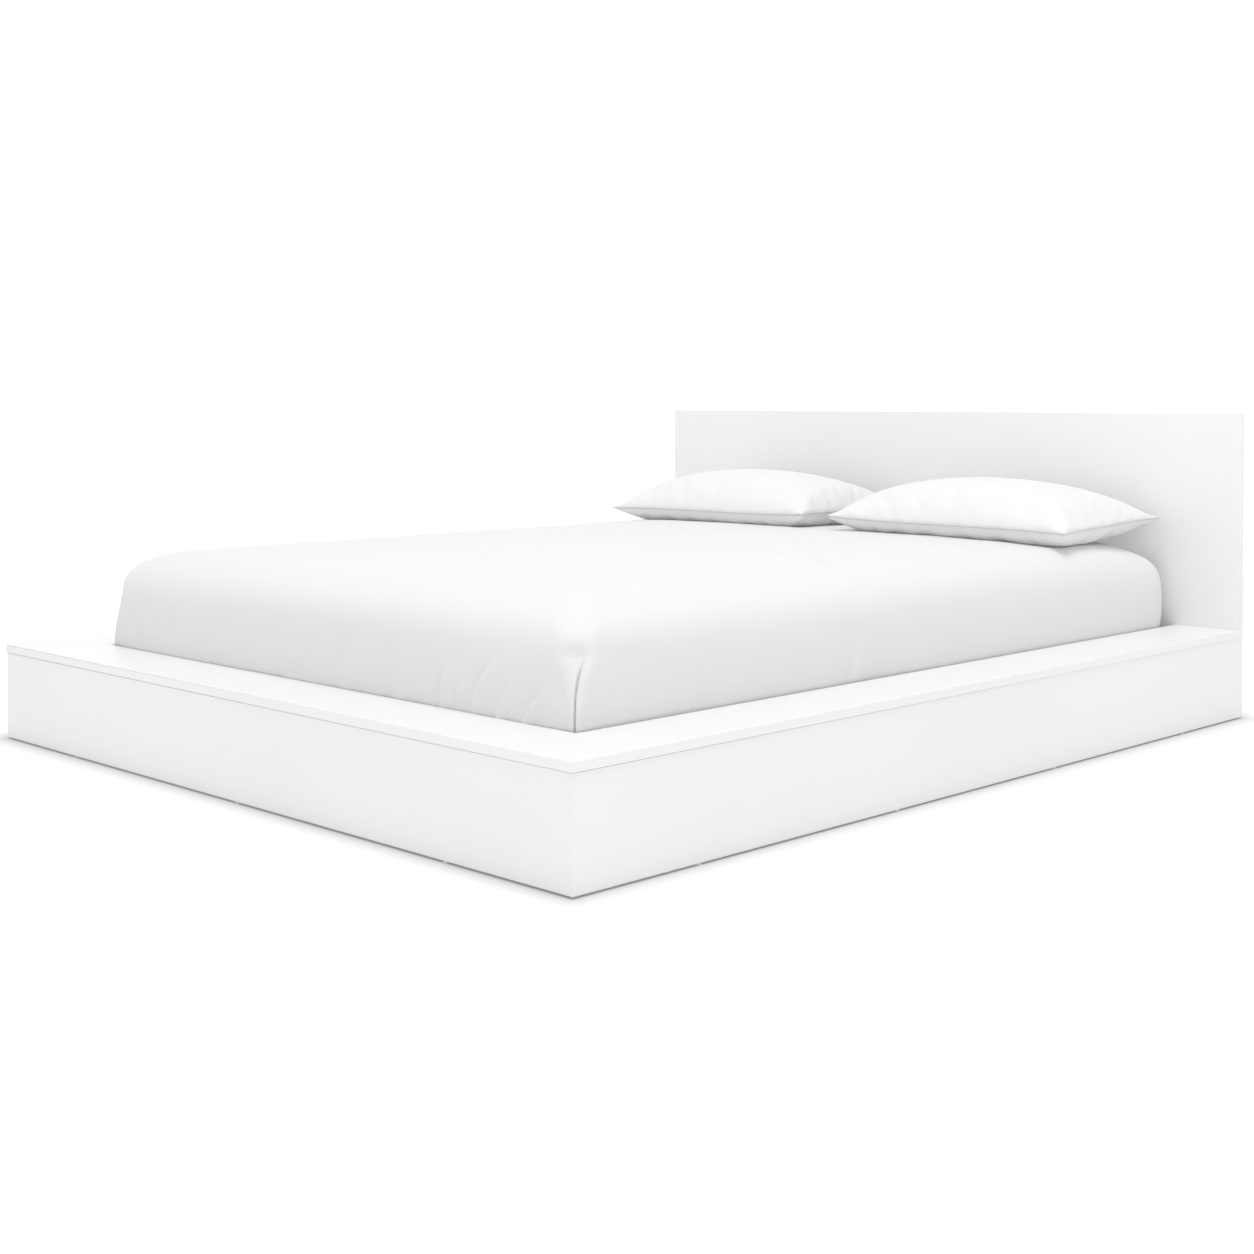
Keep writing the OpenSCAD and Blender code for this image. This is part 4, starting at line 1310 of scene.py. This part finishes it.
@dataclass
class Pillow:
    """A stuffed pillow: two panels joined by a piped seam, blown up by a short cloth simulation."""

    node: str
    name: str
    bedding: Bedding
    hand: int
    across: int = 72
    deep: int = 56
    crowding: float = 0.35
    crown: float = 112 * MM
    fullness: float = 0.45
    belly: float = 32 * MM
    draw: float = 22 * MM
    lift: float = 10 * MM
    piping: float = 1.5 * MM
    piping_sides: int = 8
    frames: int = 24
    swell_cap: float = 12 * MM
    clearance: float = 0.6 * MM
    settle: float = 4 * MM
    wrinkle_start: float = 0.985
    wrinkles: tuple[tuple[float, float, float], ...] = (
        (-0.72, 0.80, 0.10), (-0.42, 0.72, 0.16), (-0.12, 0.80, 0.20), (0.35, 0.86, 0.1),
    )
    cloth: dict[str, float] = field(
        default_factory=lambda: dict(
            quality=6, mass=0.2, tension_stiffness=25, compression_stiffness=25, shear_stiffness=8,
            bending_stiffness=0.35, tension_damping=6, compression_damping=6, shear_damping=6,
            bending_damping=0.5, air_damping=2, shrink_min=-0.03, use_pressure=True,
            uniform_pressure_force=2.2,
        )
    )

    def __post_init__(self) -> None:
        """Takes the pillow's place and size from its solid."""
        low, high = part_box(self.node)
        seam_z = high.z - self.crown - self.settle
        self.middle = np.array([(low.x + high.x) / 2, (low.y + high.y) / 2, seam_z])
        self.size = np.array([high.x - low.x, high.y - low.y])

    def steps(self, count: int) -> Array:
        """Shares from -1 to 1, closer together at the ends."""
        t = np.linspace(-1, 1, count + 1)
        return t * (1 + self.crowding - self.crowding * t * t)

    def shape(self, u: Array, v: Array, up: bool) -> Array:
        """Points of one panel about the middle of the seam.

        Args:
            u: Shares across, from -1 to 1.
            v: Shares deep, from -1 to 1.
            up: Whether it is the top panel.

        Returns:
            The points.
        """
        half = self.size / 2
        x = u * (half[0] - self.draw * (1 - v**4) * u * u)
        y = v * (half[1] - self.draw * (1 - u**4) * v * v)
        body = np.maximum((1 - u * u) * (1 - v * v), 0)
        back = (1 + v) / 2
        seam = self.lift * abs(u) ** 3 * (0.3 + 1.4 * back**2)
        seam = seam - 0.6 * self.hand * self.lift * u**3 * (1 - back)
        under = 1.5 * self.belly * (1 - 0.42 * back * (0.5 + 0.5 * u)) * body ** (0.24 - 0.04 * u)
        z = seam + self.crown * body**self.fullness if up else seam - under
        return np.stack([x, y, z], axis=-1)

    def panels(self) -> tuple[Array, Faces, Array, list[int]]:
        """The smooth pillow.

        Returns:
            Its points, its faces, each point's place on the flat cloth, and the seam's points in order.
        """
        u, v = np.meshgrid(self.steps(self.across), self.steps(self.deep), indexing="ij")
        number = np.arange(u.size).reshape(u.shape)
        inner = (slice(1, -1), slice(1, -1))
        below = number.copy()
        below[inner] = u.size + np.arange(number[inner].size).reshape(number[inner].shape)
        top, under = self.shape(u, v, True), self.shape(u, v, False)
        cut = np.stack([u, v], axis=-1) * self.size / 2
        points = np.concatenate([top.reshape(-1, 3), under[inner].reshape(-1, 3)])
        flat = np.concatenate([cut.reshape(-1, 2), cut[inner].reshape(-1, 2)])
        pairs = zip(squares(number), squares(below))
        faces = [face for upper, lower in pairs for face in (upper, lower[::-1])]
        return points, faces, flat, rim_of(number)

    def blown_up(self, points: Array, faces: Faces, seam: list[int]) -> Array:
        """Blows the pillow up with a cloth simulation whose seam stays in place.

        Args:
            points: The smooth pillow's points.
            faces: Its faces.
            seam: The seam's points.

        Returns:
            The points after it.
        """
        mesh = bpy.data.meshes.new("blowing_up")
        mesh.from_pydata(points.tolist(), [], faces)
        trial = new_piece("blowing_up", mesh)
        trial.vertex_groups.new(name="seam").add(seam, 1.0, "REPLACE")
        cloth = trial.modifiers.new("cloth", "CLOTH")
        for name, value in self.cloth.items():
            setattr(cloth.settings, name, value)
        cloth.settings.vertex_group_mass = "seam"
        cloth.settings.effector_weights.gravity = 0
        cloth.collision_settings.use_collision = False
        cloth.point_cache.frame_start, cloth.point_cache.frame_end = 1, self.frames + 1
        for i in range(1, self.frames + 1):
            bpy.context.scene.frame_set(i)
        done = trial.evaluated_get(bpy.context.evaluated_depsgraph_get())
        moved = np.array([v.co for v in done.data.vertices]) - points
        bpy.data.objects.remove(trial)
        bpy.context.scene.frame_set(1)
        far = np.linalg.norm(moved, axis=1)
        share = self.swell_cap * np.tanh(far / self.swell_cap) / np.maximum(far, 1e-9)
        corner = abs(points[:, 0] * points[:, 1]) / (self.size[0] * self.size[1] / 4)
        return points + moved * (share * (1 - np.clip(corner, 0, 1) ** 2.5))[:, None]

    def build(self) -> list[bpy.types.Object]:
        """Builds the pillow and its piping.

        Returns:
            The pillow and the piping.
        """
        points, faces, flat, seam = self.panels()
        points = self.blown_up(points, faces, seam)
        z = points[:, 2]
        points[:, 2] = np.where(z > 0, z * self.crown / z.max(), z)
        points = self.wrinkled(points + self.middle, faces)
        floor = self.bedding.top_surface(points[:, 0], points[:, 1]) + self.clearance
        points[:, 2] = np.maximum(points[:, 2], floor)
        pillow = soft_piece(self.name, points, faces, flat, "pillow")
        rounder = pillow.modifiers.new("rounder", "SUBSURF")
        rounder.levels = rounder.render_levels = 1
        body = frame["nodes"][self.node]["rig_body"]
        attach(pillow, body)
        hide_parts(self.node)
        return [pillow, self.pipe(points[seam], body)]

    def wrinkled(self, points: Array, faces: Faces) -> Array:
        """Presses in the short wrinkles that run up from the seam at the right end.

        Args:
            points: The stuffed pillow's points.
            faces: Its faces.

        Returns:
            The points after it.
        """
        normals = normals_of(points, faces)
        start, moved = self.wrinkle_start, np.zeros(len(points))
        for depth_share, reach, lean in self.wrinkles:
            u = np.linspace(start, reach, 4)
            line = self.shape(u, depth_share - lean * (start - u) / start, True) + self.middle
            moved += Crease(tuple(map(tuple, line.tolist())), 3.2 * MM, 8 * MM, 0.7).height(points, normals)
        return points + normals * moved[:, None]

    def pipe(self, line: Array, body: str) -> bpy.types.Object:
        """Builds the piping along the seam.

        Args:
            line: The seam's points in order round the pillow.
            body: The body it rides on.

        Returns:
            The piping.
        """
        sides, radius, stands_out = self.piping_sides, self.piping, 0.35
        ahead = unit(np.roll(line, -1, axis=0) - np.roll(line, 1, axis=0))
        out = unit(np.cross(ahead, [0.0, 0.0, 1.0]))
        up = np.cross(out, ahead)
        turns = math.tau * np.arange(sides) / sides
        strands = [out * (stands_out + math.cos(t)) * radius + up * math.sin(t) * radius for t in turns]
        points = (line[:, None] + np.stack(strands, axis=1)).reshape(-1, 3)
        number = np.arange(len(points)).reshape(-1, sides)
        faces = squares(np.pad(number, ((0, 1), (0, 1)), mode="wrap"))
        run = np.concatenate([[0], np.cumsum(np.linalg.norm(np.diff(line, axis=0), axis=1))])
        flat = np.stack([np.repeat(run, sides), np.tile(np.arange(sides) * radius, len(line))], axis=1)
        piping = soft_piece(self.name + "_piping", points, faces, flat, "piping")
        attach(piping, body)
        return piping


# Studio


@dataclass(frozen=True)
class Lamp:
    """A soft square lamp."""

    name: str
    place: tuple[float, float, float]
    target: tuple[float, float, float]
    size: float
    power: float

    def build(self) -> None:
        """Builds the lamp, turned towards its target."""
        lamp = bpy.data.lights.new(self.name, "AREA")
        lamp.size = self.size
        lamp.energy = self.power
        light = bpy.data.objects.new(self.name, lamp)
        light.location = self.place
        light.rotation_euler = (Vector(self.target) - Vector(self.place)).to_track_quat("-Z", "Y").to_euler()
        bpy.context.scene.collection.objects.link(light)


@dataclass
class Studio:
    """The pale floor, the even white light and the camera at the photograph's viewing angle."""

    camera_place: tuple[float, float, float] = (2.959, -3.028, 0.776)
    camera_turn_deg: float = 44.875
    camera_dip_deg: float = 0.848
    lens_mm: float = 51.50
    shift_y: float = -0.16
    floor_radius: float = 4.5
    floor_sides: int = 96
    floor_drop: float = 0.3 * MM
    floor_tone: float = 0.45
    floor_glow: float = 0.54
    # Painted contact shadow: the floor's glow fades over this reach from the bed's box, down to this share at
    # its edge.
    painted_shadow_reach: float = 0.095
    painted_shadow_start: float = 2 * MM
    painted_shadow_glow: float = 0.22
    horizon: float = 1.12
    horizon_top: float = 0.36
    horizon_fade: float = 0.1
    sky: float = 0.80
    lamps: tuple[Lamp, ...] = (
        Lamp("overhead_light", (1.6, -1.1, 7.0), (0.1, -0.1, 0.3), 2.6, 230.0),
        Lamp("front_light", (5.6, -6.8, 3.4), (0.1, -0.1, 0.3), 3.4, 60.0),
    )

    def build(self) -> None:
        """Builds floor, light and camera."""
        self.floor()
        self.light()
        self.camera()

    def floor(self) -> None:
        """Builds the floor, whose glow fades close to the bed into a painted contact shadow."""
        around = [math.tau * i / self.floor_sides for i in range(self.floor_sides)]
        r = self.floor_radius
        rim = [(r * math.cos(t), r * math.sin(t), -self.floor_drop) for t in around]
        mesh = bpy.data.meshes.new("studio_floor")
        mesh.from_pydata(rim, [], [tuple(range(len(rim)))])
        floor = new_piece("studio_floor", mesh)
        s = Shader("studio_floor")
        # Painted contact shadow: the glow fades within a few centimetres of the bed's box, so the floor
        # darkens beside the bed.
        beyond = []
        for part, edge in zip(s.parts(s.place())[:2], CAD_BOX[1]):
            beyond.append((part.maths("ABSOLUTE") - (edge - self.painted_shadow_start)).maths("MAXIMUM", 0.0))
        away = (beyond[0] ** 2.0 + beyond[1] ** 2.0) ** 0.5
        glow = (away / self.painted_shadow_reach).clamped() ** 0.5 * (1.0 - self.painted_shadow_glow) + self.painted_shadow_glow
        surface = s.finish(
            Base_Color=(self.floor_tone, self.floor_tone, self.floor_tone, 1.0), Roughness=0.9,
            Specular_IOR_Level=0.1, Emission_Color=s.mix(glow, (0.0, 0.0, 0.0), (1.0, 1.0, 1.0)),
            Emission_Strength=self.floor_glow,
        )
        floor.data.materials.append(surface)

    def light(self) -> None:
        """Builds the white surroundings, brighter near the horizon, and the lamps."""
        s = Shader("white_studio", Shades.WORLD)
        fade = {
            "Value": s.parts(s.node("TexCoord", output="Generated"))[2],
            "From Min": self.horizon_top, "From Max": self.horizon_top + self.horizon_fade,
            "To Min": self.horizon, "To Max": self.sky,
        }
        glow = {"Color": (1.0, 1.0, 1.0, 1.0), "Strength": s.node("MapRange", inputs=fade)}
        bpy.context.scene.world = s.end(s.node("Background", inputs=glow))
        bpy.context.scene.view_settings.view_transform = "Standard"
        for lamp in self.lamps:
            lamp.build()

    def camera(self) -> None:
        """Builds the camera."""
        lens = bpy.data.cameras.new("camera")
        lens.sensor_width = 36.0
        lens.lens = self.lens_mm
        lens.shift_y = self.shift_y
        camera = bpy.data.objects.new("camera", lens)
        camera.location = self.camera_place
        tilt = math.radians(90 - self.camera_dip_deg)
        camera.rotation_euler = (tilt, 0.0, math.radians(self.camera_turn_deg))
        bpy.context.scene.collection.objects.link(camera)
        bpy.context.scene.camera = camera


def main() -> None:
    """Builds the bed round its frame."""
    logging.basicConfig(level=logging.INFO, format="%(message)s")
    Studio().build()
    joinery = Joinery()
    bedding = Bedding()
    groups: list[Callable[[], list[bpy.types.Object]]] = [
        joinery.build,
        lambda: SlattedBase().build(joinery),
        Hardware().dress,
        lambda: [bedding.mattress(), bedding.cover()],
        Pillow("pillow_left", "pillow_left_stuffed", bedding, -1).build,
        Pillow("pillow_right", "pillow_right_stuffed", bedding, 1).build,
    ]
    for build in groups:
        for piece in build():
            report(piece)


if __name__ == "__main__":
    main()
